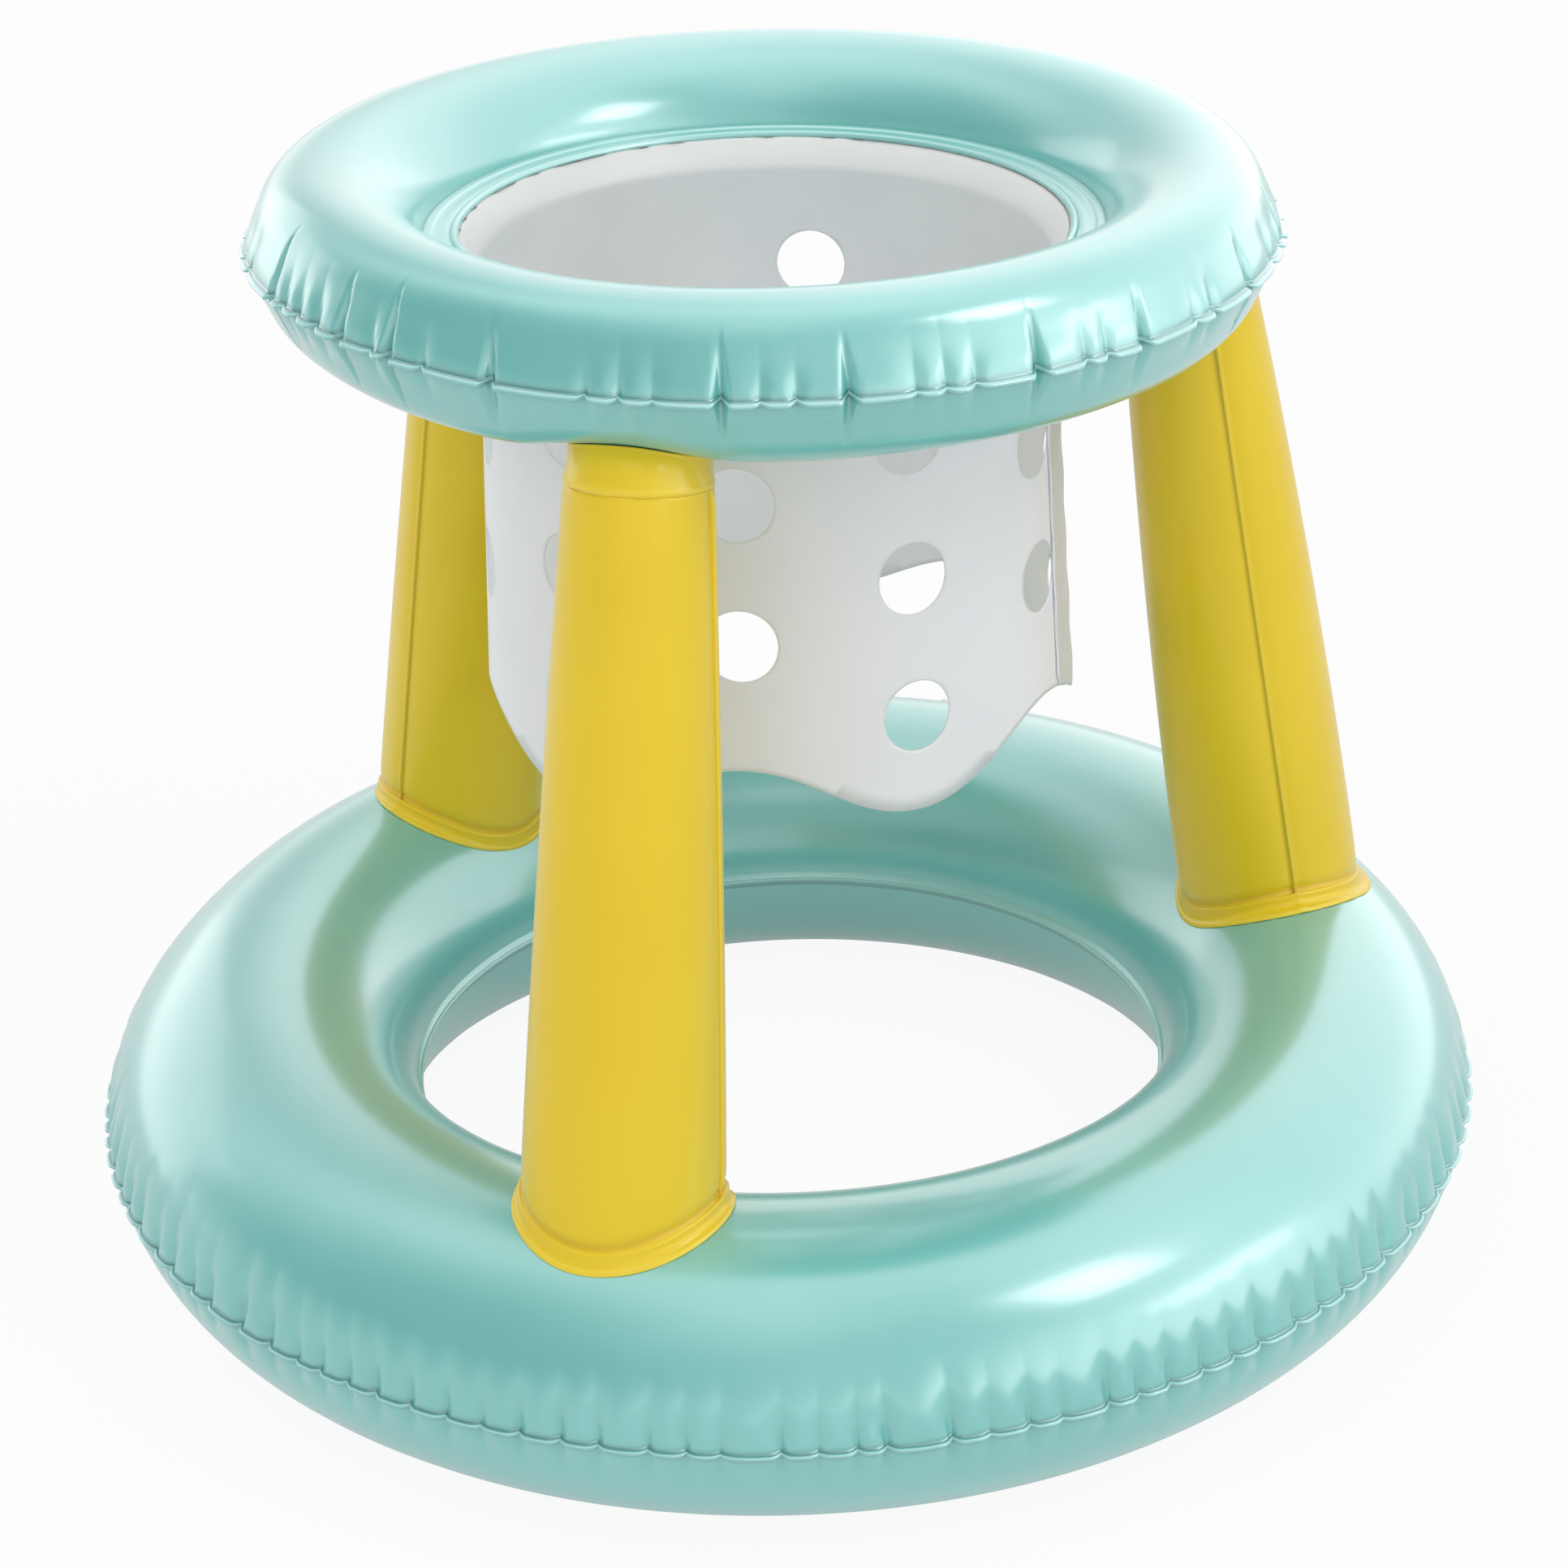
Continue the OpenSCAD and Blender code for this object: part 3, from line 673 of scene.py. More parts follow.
# %% Bends of the whole hoop
def press_up(points):
    """Where a leg stands, the hoop's underside is pressed up: by 5.5 mm over the leg, falling off
    as exp(-(distance / 36)^4), and less towards the weld plane, where nothing moves. Below the
    tube it fades out over the height of a collar."""
    low = ramp((HOOP["weld"] - points[..., 2]) / HOOP["half"]) * ramp((points[..., 2] - 448.0) / 11.0)
    lift = np.zeros(points.shape[:-1])
    for azimuth in LEGS.values():
        x, y, _ = direction(azimuth, 0.0)
        off = np.hypot(points[..., 0] - TOP_FROM_AXIS * x, points[..., 1] - TOP_FROM_AXIS * y)
        lift += 5.5 * bell(off, 36.0, 4)
    points[..., 2] += lift * low
    return points


def sway(points):
    """The hoop's front left rides 3.5 mm high: a bell curve over its direction, faded in between
    430 and 475 mm above the ground."""
    az = np.degrees(np.arctan2(points[..., 1], points[..., 0]))
    points[..., 2] += 3.5 * bell(wrapped(az + 135.0), 24.0) * smooth_step((points[..., 2] - 430.0) / 45.0)
    return points


def bend_hoop(points, side):
    """Only the lower sheet is pressed up by the legs; both ride high at the front left."""
    return sway(points if side > 0 else press_up(points))


# %% Make the hoop ring's two sheets
def web_lift(e):
    """Height added to the flat web at a distance in from the tube: a raised band beside the tube
    that ends in a step, a shallow groove, and a rounded bead before the inner edge."""
    band = 0.7 / (1.0 + np.exp((e - 4.5) / 0.22))
    groove = -0.45 * bell(e - 11.7, 0.5)
    bead = 1.25 * np.sqrt(ramp(1.0 - ((e - 13.9) / 1.75) ** 2))
    return band + groove + bead


hoop_theta = bunched(hoop_at, [0.0, 0.045, 0.1, 0.165, 0.24, 0.33, 0.43, 0.54, 0.65, 0.75, 0.83, 0.895,
                               0.95])
web_e = np.array([0.5, 1.6, 2.8, 3.8, 4.3, 4.7, 5.4, 8, 10.6, 11.3, 11.7, 12.1, 12.4, 13.1, 13.9, 14.7, 15.2,
                  15.6, 16.0, 16.0])
hoop_along = np.array([0, 1.0, 2.2, 3.6, 5.2, 7, 9, 11.3, 14, 17, 20.2, 23.6, 27.2, 31, 35, 39.2, 43.6, 48.2, 53,
                       58, 63, 68, 73, 78, 83, 88, 93, 98, 102, 106, 109, 112, 114.5, 116.5, 118])
hoop_loops = [sheet_loop(HOOP, hoop_along, 2.6, web_e, web_lift),
              sheet_loop(HOOP, hoop_along, 2.6, np.array([0.6, 2.5, 7.0, 12.0, 15.0, 16.0, 16.0]))]
hoop_rings = make_ring("hoop", HOOP, hoop_theta, hoop_loops, hoop_creases, 22, (32.0, 27.0), 0.45,
                       (6.0, 1.6, 3.0), 30.0, bend_hoop)

# %% [markdown]
# ## Legs
# A leg is two tapered sheets welded up both sides, so its section is round with a thin strip
# standing out left and right. A leg has its own frame: z runs up its axis, x points away from the
# middle of the toy. Its lower edge follows the base ring, and that curve is found by halving.

# %% How each leg stands
LEG_SET = {
    -90.0: dict(foot=(-4.2, -3.3), top=(0.0, 3.4), swell=(1.5, 1.1)),
    30.0: dict(foot=(-1.0, -2.5), top=(2.0, 0.0), swell=(3.4, 0.5)),
    150.0: dict(foot=(-3.5, 1.5), top=(0.0, 0.0), swell=(1.5, 0.5)),
}

# %% A leg's own frame
def leg_radius(s):
    """Radius of a leg at a height up its axis, which falls evenly from foot to top."""
    return 44.5 - 14.5 * s / LEG_LEN


def leg_to_world(points, azimuth):
    """Leans a leg's points inward about Y, moves them to the foot's place and turns them about Z.
    Before that its axis shifts by a few millimetres, evenly from the foot's shift to the top's."""
    up = ramp(points[..., 2] / LEG_END)
    foot, top = LEG_SET[azimuth]["foot"], LEG_SET[azimuth]["top"]
    x, y = (points[..., i] + foot[i] + (top[i] - foot[i]) * up for i in (0, 1))
    z = points[..., 2]
    c, s = math.cos(LEG_LEAN), math.sin(LEG_LEAN)
    wx, wz = FOOT_FROM_AXIS + x * c - z * s, BASE["weld"] + BASE["half"] + x * s + z * c
    ca, sa, _ = direction(azimuth, 0.0)
    return np.stack([wx * ca - y * sa, wx * sa + y * ca, wz], -1)


def on_leg(r, phi, s, azimuth):
    """World points at radius r, direction phi and height s of a leg."""
    return leg_to_world(np.stack([r * np.cos(phi), r * np.sin(phi), s], -1), azimuth)


def outside_of(ring, points, grown=0.0):
    """Above 0 outside a ring's tube and below 0 in it: the section's equation at each point."""
    rho = np.hypot(points[..., 0], points[..., 1])
    width = np.where(rho > ring["crest"], ring["out"], ring["inn"]) + grown
    power = np.where(rho > ring["crest"], 2.0, 2.0 / ring["pinch"])
    high = np.abs(points[..., 2] - ring["weld"]) / (ring["half"] + grown)
    return ((rho - ring["crest"]) / width) ** 2 + high ** power - 1.0


def meet(ring, along_line, low, high, grown=0.0):
    """The height at which a line of points enters or leaves a ring's tube, by halving the stretch
    between low and high forty times. along_line gives the points for an array of heights."""
    sign = np.sign(outside_of(ring, along_line(high), grown))
    for _ in range(40):
        middle = (low + high) / 2
        same = np.sign(outside_of(ring, along_line(middle), grown)) == sign
        low, high = np.where(same, low, middle), np.where(same, middle, high)
    return (low + high) / 2


# %% [markdown]
# Near its side welds the film is drawn in a little, and at its top the leg rounds over into the
# seam with the collar. These are small changes of the radius, added as bell curves.

# %% Shape of a leg's sheet
def leg_shape(s, phi, foot, swell):
    """Radius of the leg's skin at height s and direction phi: the even taper plus a swelling that is
    greatest at half height, less a dent beside each side weld, a shoulder below the top seam and a
    tuck above the foot flange, and faint ripples that run in from the two ends."""
    belly = np.maximum(np.sin(math.pi * ramp((s - foot) / (LEG_END - foot))), 0.0) ** 0.7
    r = leg_radius(s) + belly * (swell[0] * np.cos(phi) ** 2 + swell[1] * np.sin(phi) ** 2)
    seam = 0.9 * bell(np.abs(np.abs(phi) - math.pi / 2) * r, 3.4)
    top = ramp((s - (LEG_END - 13.0)) / 13.0)
    ripple = np.sin(9 * phi + 1.3) * 0.35 * top ** 2
    ripple = ripple + np.sin(7 * phi + 0.4) * 0.22 * np.exp(-((s - foot) / 16.0))
    return r - seam - 0.2 * top ** 3 + ripple - 1.2 * bell(s - foot - 8.2, 1.8)


def leg_sheet(name, azimuth, turned):
    """Half a leg as a closed sheet: over its skin from one side strip to the other, and back along
    its inside with one point behind each outer one. turned is 0 for the outer half and 1 for the
    inner half, whose points are turned half round."""
    skin = np.linspace(-math.pi / 2, math.pi / 2, 61)
    skin = skin - 0.2 * np.sin(2 * skin)
    strip = np.array([1.0, 0.9, 0.5, 0.12])
    strip_x = np.array([0.25, 0.66, 0.8, 0.8])
    heights = np.concatenate([[0, 0.006, 0.012, 0.017, 0.021, 0.025, 0.029, 0.034, 0.042, 0.052, 0.066],
                              np.linspace(0.09, 0.93, 30),
                              [0.95, 0.965, 0.978, 0.988, 0.995, 1.0]])
    turn = 1.0 - 2.0 * turned

    def line(s):
        return on_leg(turn * leg_radius(s), skin, s, azimuth)

    foot = meet(BASE, line, np.full(skin.shape, -40.0), np.full(skin.shape, 20.0), 1.6)
    s = foot[None, :] + (LEG_END - foot)[None, :] * heights[:, None]
    r = leg_shape(s, skin[None, :], foot[None, :], LEG_SET[azimuth]["swell"])
    outer = np.stack([np.maximum(r * np.cos(skin), FILM), r * np.sin(skin), s], -1)
    inner = np.stack([np.maximum((r - FILM) * np.cos(skin), 0.02), (r - FILM) * np.sin(skin), s], -1)
    wide = 1.8 + 0.9 * bell(LEG_END - s[:, 0], 45.0)
    wide *= np.clip((LEG_END + 1.5 - s[:, 0]) / 7.0, 0.2, 1.0)
    y = r[:, :1] + wide[:, None] * strip[None, :]
    level = np.broadcast_to(s[:, :1], y.shape)
    left = np.stack([np.broadcast_to(strip_x, y.shape), -y, level], -1)
    under = np.stack([np.full(y.shape, 0.02), -y, level], -1)
    mirrored = np.array([1.0, -1.0, 1.0])
    outside = np.concatenate([left, outer, (left * mirrored)[:, ::-1]], 1)
    inside = np.concatenate([under, inner, (under * mirrored)[:, ::-1]], 1)
    points = np.concatenate([outside, inside[:, ::-1]], 1) * np.array([turn, turn, 1.0])
    half = outside.shape[1]
    weld = np.zeros(points.shape[:2])
    # The side strips get weld 1, which the finish paints lighter as a painted highlight along the weld.
    weld[:, :4] = weld[:, half - 4:half + 4] = weld[:, -4:] = 1.0
    quads = np.concatenate([grid_faces(*points.shape[:2], False, True), cap_ends(points.shape[0], half)])
    # Painted shade: a dark band round the leg where the foot flange's lip meets the wall, carried in the field
    # for a weld's root.
    lip_shade = 0.7 * bell(s[:, :1] - foot[0] - 7.3, 0.9) * np.ones(points.shape[:2])
    points = leg_to_world(points.reshape(-1, 3), azimuth)
    return make_mesh(name, points, quads, {"weld": weld, "root_shade": lip_shade})


def cap_ends(rows, half):
    """Quads that close a folded sheet's first and last row, each between two neighbouring outer
    points and the two inner points behind them."""
    i = np.arange(half - 1)
    cap = np.stack([i, i + 1, 2 * half - 2 - i, 2 * half - 1 - i], -1)
    return np.concatenate([cap, cap[:, ::-1] + (rows - 1) * 2 * half])


# %% Make the legs' sheets
for word, azimuth in LEGS.items():
    for turned, half in ((0, "outer"), (1, "inner")):
        piece = leg_sheet(f"leg_{word}_{half}_sheet", azimuth, turned)
        put_on(piece, "yellow_vinyl", f"leg_{word}_{half}_panel")

# %% [markdown]
# ## Foot flanges
# A leg ends in a soft flange that is welded on the base ring. It climbs a little way up the leg's
# wall with a rounded lip, falls in a hollow curve, and ends in a low welt and a thin edge. It is cut
# by hand, so its width changes round the leg. The flange is a loop of points carried round the leg.

# %% Width of each flange
FLANGE_WIDTH = {
    -90.0: ((-87, -67, -35, -18, 9, 33, 60, 88, 101, 180),
            (2.8, 3.9, 3.8, 3.6, 3.2, 4.3, 5.6, 5.0, 4.2, 4.0)),
    30.0: ((-180, -141, -109, -92, -54, -22, 0, 40, 90, 158),
           (3.8, 5.0, 8.2, 8.2, 5.0, 6.0, 7.5, 5.0, 5.0, 3.4)),
    150.0: ((-170, -90, 0, 55, 79, 103, 118, 139, 159, 171),
            (3.0, 4.5, 4.5, 2.2, 4.2, 5.6, 5.7, 4.0, 2.6, 2.2)),
}


def flange_width(phi, azimuth):
    """Width by direction: straight lines between the directions and widths of FLANGE_WIDTH, then a
    running mean over 25 degrees, which rounds their corners."""
    degrees = np.arange(360.0)
    width = np.interp(degrees, *FLANGE_WIDTH[azimuth], period=360.0)
    mean = np.convolve(np.concatenate([width[-12:], width, width[:12]]), np.ones(25) / 25.0, "valid")
    return np.interp(np.degrees(phi), degrees, mean, period=360.0)


# %% Make the foot flanges
def foot_flange(name, azimuth):
    """First the points on the wall, given by distance out and height, then those across the width,
    given by their share of it and height. Two low bumps continue the leg's side welds."""
    phi = np.linspace(-math.pi, math.pi, 180, endpoint=False)
    wall_out = np.array([-1.4, -0.2, 0.5, 0.95, 1.1, 1.1, 1.2, 1.5])
    wall_high = np.array([7.0, 7.3, 7.3, 6.9, 6.2, 5.1, 4.1, 3.2])
    share = np.array([0.15, 0.32, 0.5, 0.66, 0.8, 0.9, 0.96, 1.0])
    share_high = np.array([2.5, 2.0, 1.75, 1.8, 1.7, 1.35, 0.9, 0.4])
    width = flange_width(phi, azimuth)[:, None]
    out = 1.5 + (width - 1.5) * share
    out = np.concatenate([np.broadcast_to(wall_out, (len(phi), len(wall_out))), out], 1)
    high = np.concatenate([wall_high, share_high])[None, :]
    side = np.abs(np.abs(phi) - math.pi / 2)[:, None] * 46.0
    ridge = 0.75 * bell(side, 2.3, 4) * (out > 0.0)

    def line(s):
        return on_leg(leg_radius(0.0) + out, phi[:, None], s, azimuth)

    s = meet(BASE, line, np.full(out.shape, -55.0), np.full(out.shape, 30.0))
    points = np.concatenate([line(s + high + ridge), line(s + 0.12)[:, ::-1]], 1)
    # The outer band of the flange gets weld up to 1, which the finish paints lighter as a painted highlight.
    weld = np.concatenate([np.clip(out / width - 0.4, 0.0, 0.6) / 0.6, np.zeros(out.shape)], 1)
    return loop_mesh(name, points, {"weld": weld})


for word, azimuth in LEGS.items():
    put_on(foot_flange(f"leg_{word}_foot_skirt", azimuth), "yellow_vinyl", f"leg_{word}_foot_flange")

# %% [markdown]
# ## Top collars
# Between a leg's upper seam and the hoop sits a short collar. It has a narrow neck, a rim at the
# seam and a flare where it is welded under the hoop's tube.

# %% Make the collars
def top_collar(name, azimuth):
    """A loop of rising heights: over the collar's outside from the rim at the seam to the flare on
    the hoop, and back down its inside. Its upper end follows the hoop's surface and is pulled in
    on its outward side, so that it stays under the tube."""
    phi = np.linspace(-math.pi, math.pi, 96, endpoint=False)
    up = np.array([-0.05, 0.0, 0.05, 0.12, 0.22, 0.38, 0.56, 0.72, 0.84, 0.93, 1.0])
    swell = np.array([-0.35, 0.4, 0.5, 0.25, -0.1, -0.5, -0.8, -0.9, -0.8, -0.5, 0.0])

    def wall(r):
        """A point row for each height, on radius r."""
        def line(s):
            return on_leg(r, phi[:, None], s, azimuth)
        low = np.full((len(phi), len(up)), LEG_END)
        return line(LEG_END + (meet(HOOP, line, low, low + 38.0, 0.12) - LEG_END) * up)

    pull = 9.5 * ramp(np.cos(phi))[:, None] ** 1.2 * (ramp(up) ** 1.5)[None, :]
    r_out = leg_radius(LEG_END) + swell[None, :] - pull
    r_in = r_out - FILM - np.array([0.4, 0.9, 0.8, 0.2, 0, 0, 0, 0, 0, 0, 0])[None, :]
    points = sway(press_up(np.concatenate([wall(r_out), wall(r_in)[:, ::-1]], 1)))
    weld = np.zeros(points.shape[:2])
    # The rim at the seam and the flare under the hoop get weld 0.7, which the finish paints lighter as a painted
    # highlight.
    weld[:, :3] = weld[:, len(up) - 2:len(up)] = 0.7
    return loop_mesh(name, points, {"weld": weld})


for word, azimuth in LEGS.items():
    put_on(top_collar(f"leg_{word}_neck", azimuth), "yellow_vinyl", f"leg_{word}_top_collar")

# %% [markdown]
# ## Net
# The net is one sheet of film with round punched holes, closed to a sleeve by overlapping its ends.
# Its upper edge is turned out under the hoop's web, below that it draws in, and its lower edge is
# cut in five waves. The wall is divided into cells with one hole each: the points run from the
# cell's outline straight to the hole's edge, so the holes stay round and neighbouring cells share
# their outline.

# %% The net's wall
NET_TOP = HOOP["weld"] - 0.9
NET_LOW = 258.5
MOUTH_IN, MOUTH_HIGH = 8.0, 12.0
THROAT_Z = NET_TOP - MOUTH_HIGH
THROAT_R, FLARE = 128.0, 9.0
HOLE_R, HOLE_PITCH = 16.5, 64.5
LONG_FIRST, SHORT_FIRST = 61.0, 85.0
WAVES, WAVE_HIGH = 5, 27.0
COLUMN = 36.0
ROW_TOP = 29.0
ROW_STEP = 3.215
EVEN_ROWS = 40
LOBE_AZ = 25.5


def net_radius(z):
    """Outer radius of the net at a height: 128 below the mouth, growing evenly to 137 at the
    lowest point, and widening to 136 over the top 12 mm in a quarter bow."""
    wall = THROAT_R + FLARE * ramp((THROAT_Z - z) / (THROAT_Z - NET_LOW))
    mouth = ramp((z - THROAT_Z) / MOUTH_HIGH)
    return wall + MOUTH_IN * (1.0 - np.cos(mouth * math.pi / 2)) * 0.6 + MOUTH_IN * 0.4 * mouth


def net_points(az, z):
    """Points of the wall. Shallow folds hang down from the mouth and die out in the middle, and the
    hem flares and ripples a little between the waves. The left half is twisted by 2.3 degrees, and
    the front rides 2.4 mm high."""
    a = wrapped(az)
    left = np.where(a < 0, smooth_step((-52.0 - a) / 26.0), smooth_step((a - 110.0) / 60.0))
    front = bell(wrapped(az + 75.0), 70.0)
    a = np.radians(az + 2.3 * left)
    down = ramp((THROAT_Z - z) / (THROAT_Z - NET_LOW))
    fold = 0.7 * np.sin(13 * a + 0.6) * bell(down - 0.12, 0.16)
    hem = (0.9 * np.sin(WAVES * a + 1.0) + 0.5 * np.sin(9 * a)) * down ** 3
    r = net_radius(z) + (fold + hem) * ramp(down * 12)
    return np.stack([r * np.cos(a), r * np.sin(a), z + 2.4 * front * ramp(down * 6.0)], -1)


def hem_z(az):
    """Height of the hem: lowest at the middle of a wave, 27 mm higher between two waves."""
    return NET_LOW + WAVE_HIGH / 2 * (1.0 - np.cos(np.radians(WAVES * (az - LOBE_AZ))))


def row_z(j, az):
    """Height of grid line j of 60: evenly spaced for the first 40, then even down to the hem."""
    turn = HOOP["weld"] - ROW_TOP - ROW_STEP * EVEN_ROWS
    lower = turn + (hem_z(az) - turn) * (j - EVEN_ROWS) / 20.0
    return np.where(j <= EVEN_ROWS, HOOP["weld"] - ROW_TOP - ROW_STEP * np.minimum(j, EVEN_ROWS), lower)


# %% Cells with a punched hole
def net_cell(middle, first, last, hole_drop, rings=7, across=20):
    """Points and quads of one cell between grid lines first and last. The outline is walked round
    once; each of its points is joined to the hole's edge in its own direction, in steps that get
    shorter towards the hole."""
    side = np.arange(first, last)
    half = COLUMN / 2
    wide = np.linspace(-half, half, across + 1)[:-1]
    az = np.concatenate([wide, np.full(side.size, half), -wide, np.full(side.size, -half)]) + middle
    j = np.concatenate([np.full(across, last), last - (side - first), np.full(across, first), side])
    z = row_z(j, az)
    centre = HOOP["weld"] - hole_drop
    per_deg = math.radians(1.0) * net_radius(centre)
    dx, dz = (az - middle) * per_deg, z - centre
    size = np.hypot(dx, dz)
    share = (np.linspace(0.0, 1.0, rings) ** 1.6)[:, None]
    x = dx / size * HOLE_R * (1 - share) + dx * share
    h = dz / size * HOLE_R * (1 - share) + dz * share
    points = net_points(middle + x / per_deg, centre + h)
    return points.reshape(-1, 3), grid_faces(rings, len(az), False, True)


def net_strip(middle, first, last, across=20):
    """Points and quads of a plain stretch of a column between two grid lines."""
    az = np.linspace(-COLUMN / 2, COLUMN / 2, across + 1)[None, :] + middle
    j = np.arange(first, last + 1)[:, None]
    points = net_points(*np.broadcast_arrays(az, row_z(j, az)))
    return points.reshape(-1, 3), grid_faces(points.shape[0], points.shape[1], False, False)


def outward(points):
    """Level unit vectors away from the axis."""
    return points * np.array([1.0, 1.0, 0.0]) / np.linalg.norm(points[..., :2], axis=-1)[..., None]


def net_mouth(across=20):
    """The plain stretch above the first grid line, up to the web and out under it."""
    az = np.linspace(0.0, 360.0, 2 * WAVES * across + 1)[:-1] + LOBE_AZ - COLUMN / 2
    z = np.concatenate([HOOP["weld"] - np.array([ROW_TOP, 25.0, 21.0, 17.0, 14.5]),
                        np.linspace(THROAT_Z, NET_TOP - 0.45, 9)])
    points = net_points(*np.broadcast_arrays(az[None, :], z[:, None]))
    rim = net_points(az[None, :], np.full((1, az.size), NET_TOP - 0.4))
    rims = [rim + outward(rim) * d + np.array([0, 0, 0.02]) for d in (0.5, 1.6, 3.8)]
    points = np.concatenate([points] + rims)
    return points.reshape(-1, 3), grid_faces(points.shape[0], points.shape[1], False, True)


parts = [net_mouth()]
for c in range(2 * WAVES):
    middle = LOBE_AZ + COLUMN * c
    if c % 2 == 0:
        parts += [net_cell(middle, 20 * i, 20 * i + 20, LONG_FIRST + HOLE_PITCH * i) for i in range(3)]
    else:
        parts += [net_strip(middle, 0, 8), net_strip(middle, 48, 60)]
        parts += [net_cell(middle, 8 + 20 * i, 28 + 20 * i, SHORT_FIRST + HOLE_PITCH * i) for i in range(2)]
print("net cells and strips:", len(parts))

# %% [markdown]
# Neighbouring cells have the same points on their shared outline, so merging points that lie on
# each other joins them into one sheet. Solidify then gives the sheet its thickness.

# %% Join the cells
def merge_parts(parts, grain=0.02):
    """All parts as one set of points: coordinates are rounded to a fine grid, and points that fall
    on the same place are kept once."""
    counts = np.cumsum([0] + [len(p) for p, _ in parts])
    points = np.concatenate([p for p, _ in parts])
    quads = np.concatenate([q + n for (_, q), n in zip(parts, counts)])
    key = np.round(points / grain).astype(np.int64)
    _, first, back = np.unique(key, axis=0, return_index=True, return_inverse=True)
    return points[first], back.ravel()[quads]


def face_outward(points, quads):
    """Turns round each quad of a sleeve whose normal points towards the axis."""
    a, b, c, d = corners(points, quads)
    normal = np.cross(c - a, d - b)
    middle = (a + b + c + d) / 4
    inward = (normal[:, 0] * middle[:, 0] + normal[:, 1] * middle[:, 1]) < 0
    return np.where(inward[:, None], quads[:, ::-1], quads)


def sheet_area(points, quads):
    """Area of the quads in square metres."""
    a, b, c, d = corners(points, quads)
    return float(np.linalg.norm(np.cross(c - a, d - b), axis=1).sum()) / 2 * MM * MM


def film_piece(name, points, quads, weld):
    """A piece of the net from its outer face: Solidify copies it one film inward and closes its
    edges. It also prints and returns the face's area."""
    obj = make_mesh(name, points, face_outward(points, quads), {"weld": weld}, closed=False)
    solid = obj.modifiers.new("thickness", "SOLIDIFY")
    solid.thickness, solid.offset = FILM * MM, -1.0
    area = sheet_area(points, quads)
    print(name, "area", round(area, 4), "square metres")
    return put_on(obj, "white_vinyl", "net"), area


net_at, net_quads = merge_parts(parts)
net_at = sway(net_at)
# The weld field is 1 on the mouth above the throat, which the white finish paints lighter as light caught by the
# band.
net, net_area = film_piece("net_sheet", net_at, net_quads, ramp(net_at[:, 2] - (THROAT_Z - 0.5)))

# %% [markdown]
# The sheet's outer end is a plain strip that lies over the other end and covers the edge of one row
# of holes. Its lower corners are rounded.

# %% The overlap strip
def overlap():
    """A grid from the mouth to the hem, one film outside the wall, whose lower edge rises at both
    sides in a quarter circle."""
    az = np.linspace(-4.1, 8.4, 13)
    width = np.radians(az - az.mean()) * (THROAT_R + FLARE)
    corner = ramp((np.abs(width) - (width.max() - 5.0)) / 5.0)
    bottom = hem_z(az) + 5.0 * (1.0 - np.sqrt(1.0 - corner ** 2))
    share = np.linspace(0.0, 1.0, 61)[:, None]
    points = net_points(*np.broadcast_arrays(az[None, :], THROAT_Z + (bottom - THROAT_Z)[None, :] * share))
    edge = ramp(1.0 - np.abs(np.abs(width) - width.max()) / 3.0)
    lift = 0.95 + 0.5 * edge * np.sin(share * 21.0 + 0.5) ** 2
    points = points + outward(points) * lift[..., None]
    return points.reshape(-1, 3), grid_faces(61, 13, False, False)


lap_at, lap_quads = overlap()
lap, _ = film_piece("net_overlap", sway(lap_at), lap_quads, np.zeros(len(lap_at)))

# %% [markdown]
# ## Valves
# Two push-in valves sit at the back. Their solids already have the right shape, so they keep it and
# only get the milky moulded plastic.

# %% Finish the valves
for name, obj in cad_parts.items():
    if "_valve_" in name:
        obj.data.materials.clear()
        obj.data.materials.append(valve_vinyl)
        obj.data.polygons.foreach_set("material_index", np.zeros(len(obj.data.polygons), np.int32))
print("valve pieces:", sum("_valve_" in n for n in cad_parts))

# %% [markdown]
# ## Floor, light and surroundings
# The floor is a large pale disc. A share of its colour is given to camera and mirror rays as plain
# white, so that it reads as white paper but keeps the soft shadow. Gloss needs something to
# mirror, so the surroundings that it sees are set apart from the even light. Three soft lamps
# stand high at the right, low at the right and low at the left.

# %% Floor
def pale_floor():
    """Mixes a diffuse white with plain white light that only camera and mirror rays see."""
    f = Finish("pale_floor")
    f.fill(f.shader, {"Base Color": (0.86, 0.86, 0.86, 1.0), "Roughness": 0.95, "Specular IOR Level": 0.0})
    glow = f.add("ShaderNodeEmission", {"Color": (1.0, 1.0, 1.0, 1.0), "Strength": 1.0})
    rays = f.add("ShaderNodeLightPath").outputs
    seen = f.math("MULTIPLY", f.math("MAXIMUM", rays["Is Camera Ray"], rays["Is Transmission Ray"]), 0.92)
    share = f.math("MAXIMUM", seen, f.math("MULTIPLY", rays["Is Glossy Ray"], 0.36))
    both = f.add("ShaderNodeMixShader", {0: share, 1: f.shader.outputs[0], 2: glow.outputs[0]})
    f.tree.links.new(both.outputs[0], f.tree.nodes["Material Output"].inputs["Surface"])
    return f.material


side = np.linspace(-6000.0, 6000.0, 9)
flat = np.stack([*np.meshgrid(side, side, indexing="ij"), np.full((9, 9), -0.2)], -1)
floor = make_mesh("floor", flat.reshape(-1, 3), grid_faces(9, 9, False, False), closed=False)
floor.data.materials.append(pale_floor())

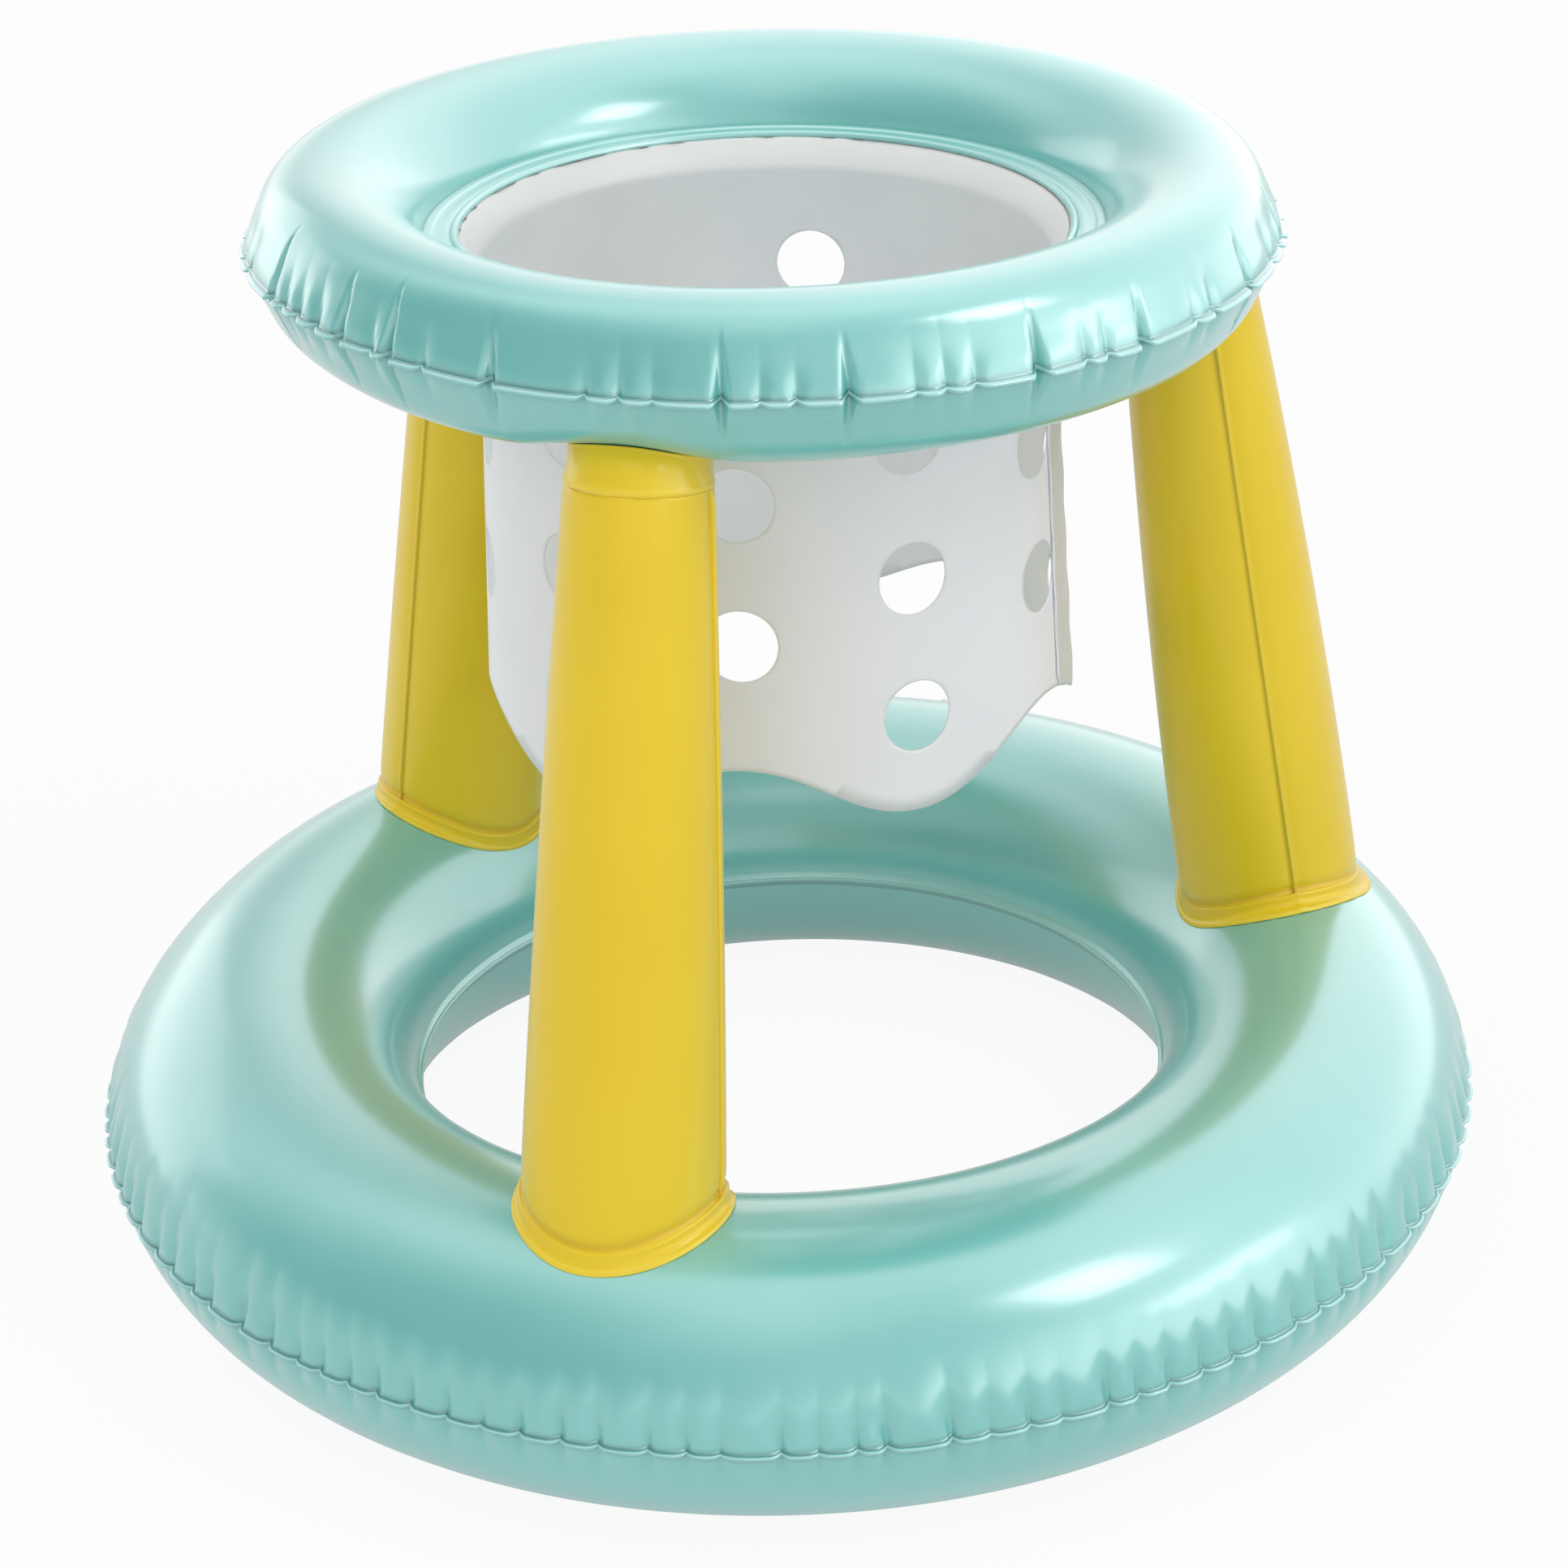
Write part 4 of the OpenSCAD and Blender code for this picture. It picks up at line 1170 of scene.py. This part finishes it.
# %% Surroundings
def surroundings():
    """The world is white to the camera, and it lights the object a little more from the front. What
    gloss mirrors is set apart: large bright boxes high at the right and overhead, a small one low at
    the right front, a faint light from below, and a dark part at the front left. Each change is a
    smooth step of the angle to its direction."""
    world = bpy.data.worlds.new("surroundings")
    bpy.context.scene.world = world
    world.use_nodes = True
    n = Nodes(world.node_tree)
    where = n.add("ShaderNodeTexCoord").outputs["Generated"]

    def towards(azimuth, rise, low, high, from_value, to_value):
        """from_value far from the direction and to_value at it, between two cosines."""
        dot = n.add("ShaderNodeVectorMath", {0: where, 1: direction(azimuth, rise)}, operation="DOT_PRODUCT")
        step = {0: dot.outputs["Value"], 1: low, 2: high, 3: from_value, 4: to_value}
        return n.add("ShaderNodeMapRange", step, interpolation_type="SMOOTHSTEP").outputs[0]

    def choose(share, without, with_it):
        return n.add("ShaderNodeMix", {0: share, 2: without, 3: with_it}, data_type="FLOAT").outputs[0]

    soft = towards(-105.0, 15.0, -0.5, 0.9, 0.50, 1.06)
    right_box = towards(58.0, 36.0, 0.50, 0.90, 0.85, 2.0)
    top_box = towards(-150.0, 62.0, 0.66, 0.93, 0.0, 0.8)
    dark_part = towards(-135.0, 22.0, 0.45, 0.98, 1.0, 0.15)
    below = towards(0.0, -90.0, -0.36, 0.0, 0.0, 0.5)
    low_box = towards(-15.0, 5.0, 0.72, 0.97, 0.0, 1.5)
    mirrored = n.math("MULTIPLY", n.math("ADD", right_box, top_box), dark_part)
    mirrored = n.math("ADD", mirrored, n.math("ADD", below, low_box))
    rays = n.add("ShaderNodeLightPath").outputs
    seen = choose(rays["Is Camera Ray"], choose(rays["Is Glossy Ray"], soft, mirrored), 1.0)
    n.fill(n.tree.nodes["Background"], {"Color": (1.0, 1.0, 1.0, 1.0), "Strength": seen})


surroundings()

# %% Lamps
def soft_lamp(name, azimuth, rise, away, width, height, watts):
    """A rectangular area lamp in a direction given in degrees, aimed at the middle of the toy."""
    out = np.array(direction(azimuth, rise))
    light = bpy.data.lights.new(name, "AREA")
    light.shape, light.size, light.size_y, light.energy = "RECTANGLE", width, height, watts
    lamp = bpy.data.objects.new(name, light)
    side = np.cross([0.0, 0.0, 1.0], out)
    side /= np.linalg.norm(side)
    at = np.array([0.0, 0.0, 0.25]) + out * away
    lamp.matrix_world = placement(side, np.cross(out, side), out, at)
    bpy.context.scene.collection.objects.link(lamp)
    print(name, "at", np.round(at, 2), watts, "W")


soft_lamp("key_lamp", -13.0, 48.0, 3.0, 0.9, 0.9, 14.0)
soft_lamp("side_lamp", -4.0, 19.0, 3.2, 1.5, 0.45, 6.0)
soft_lamp("left_lamp", 155.0, 12.0, 3.2, 2.4, 1.8, 11.0)

# %% [markdown]
# ## Finish
# The scene's view transform is set to Standard.

# %% Finish
bpy.context.scene.view_settings.view_transform = "Standard"
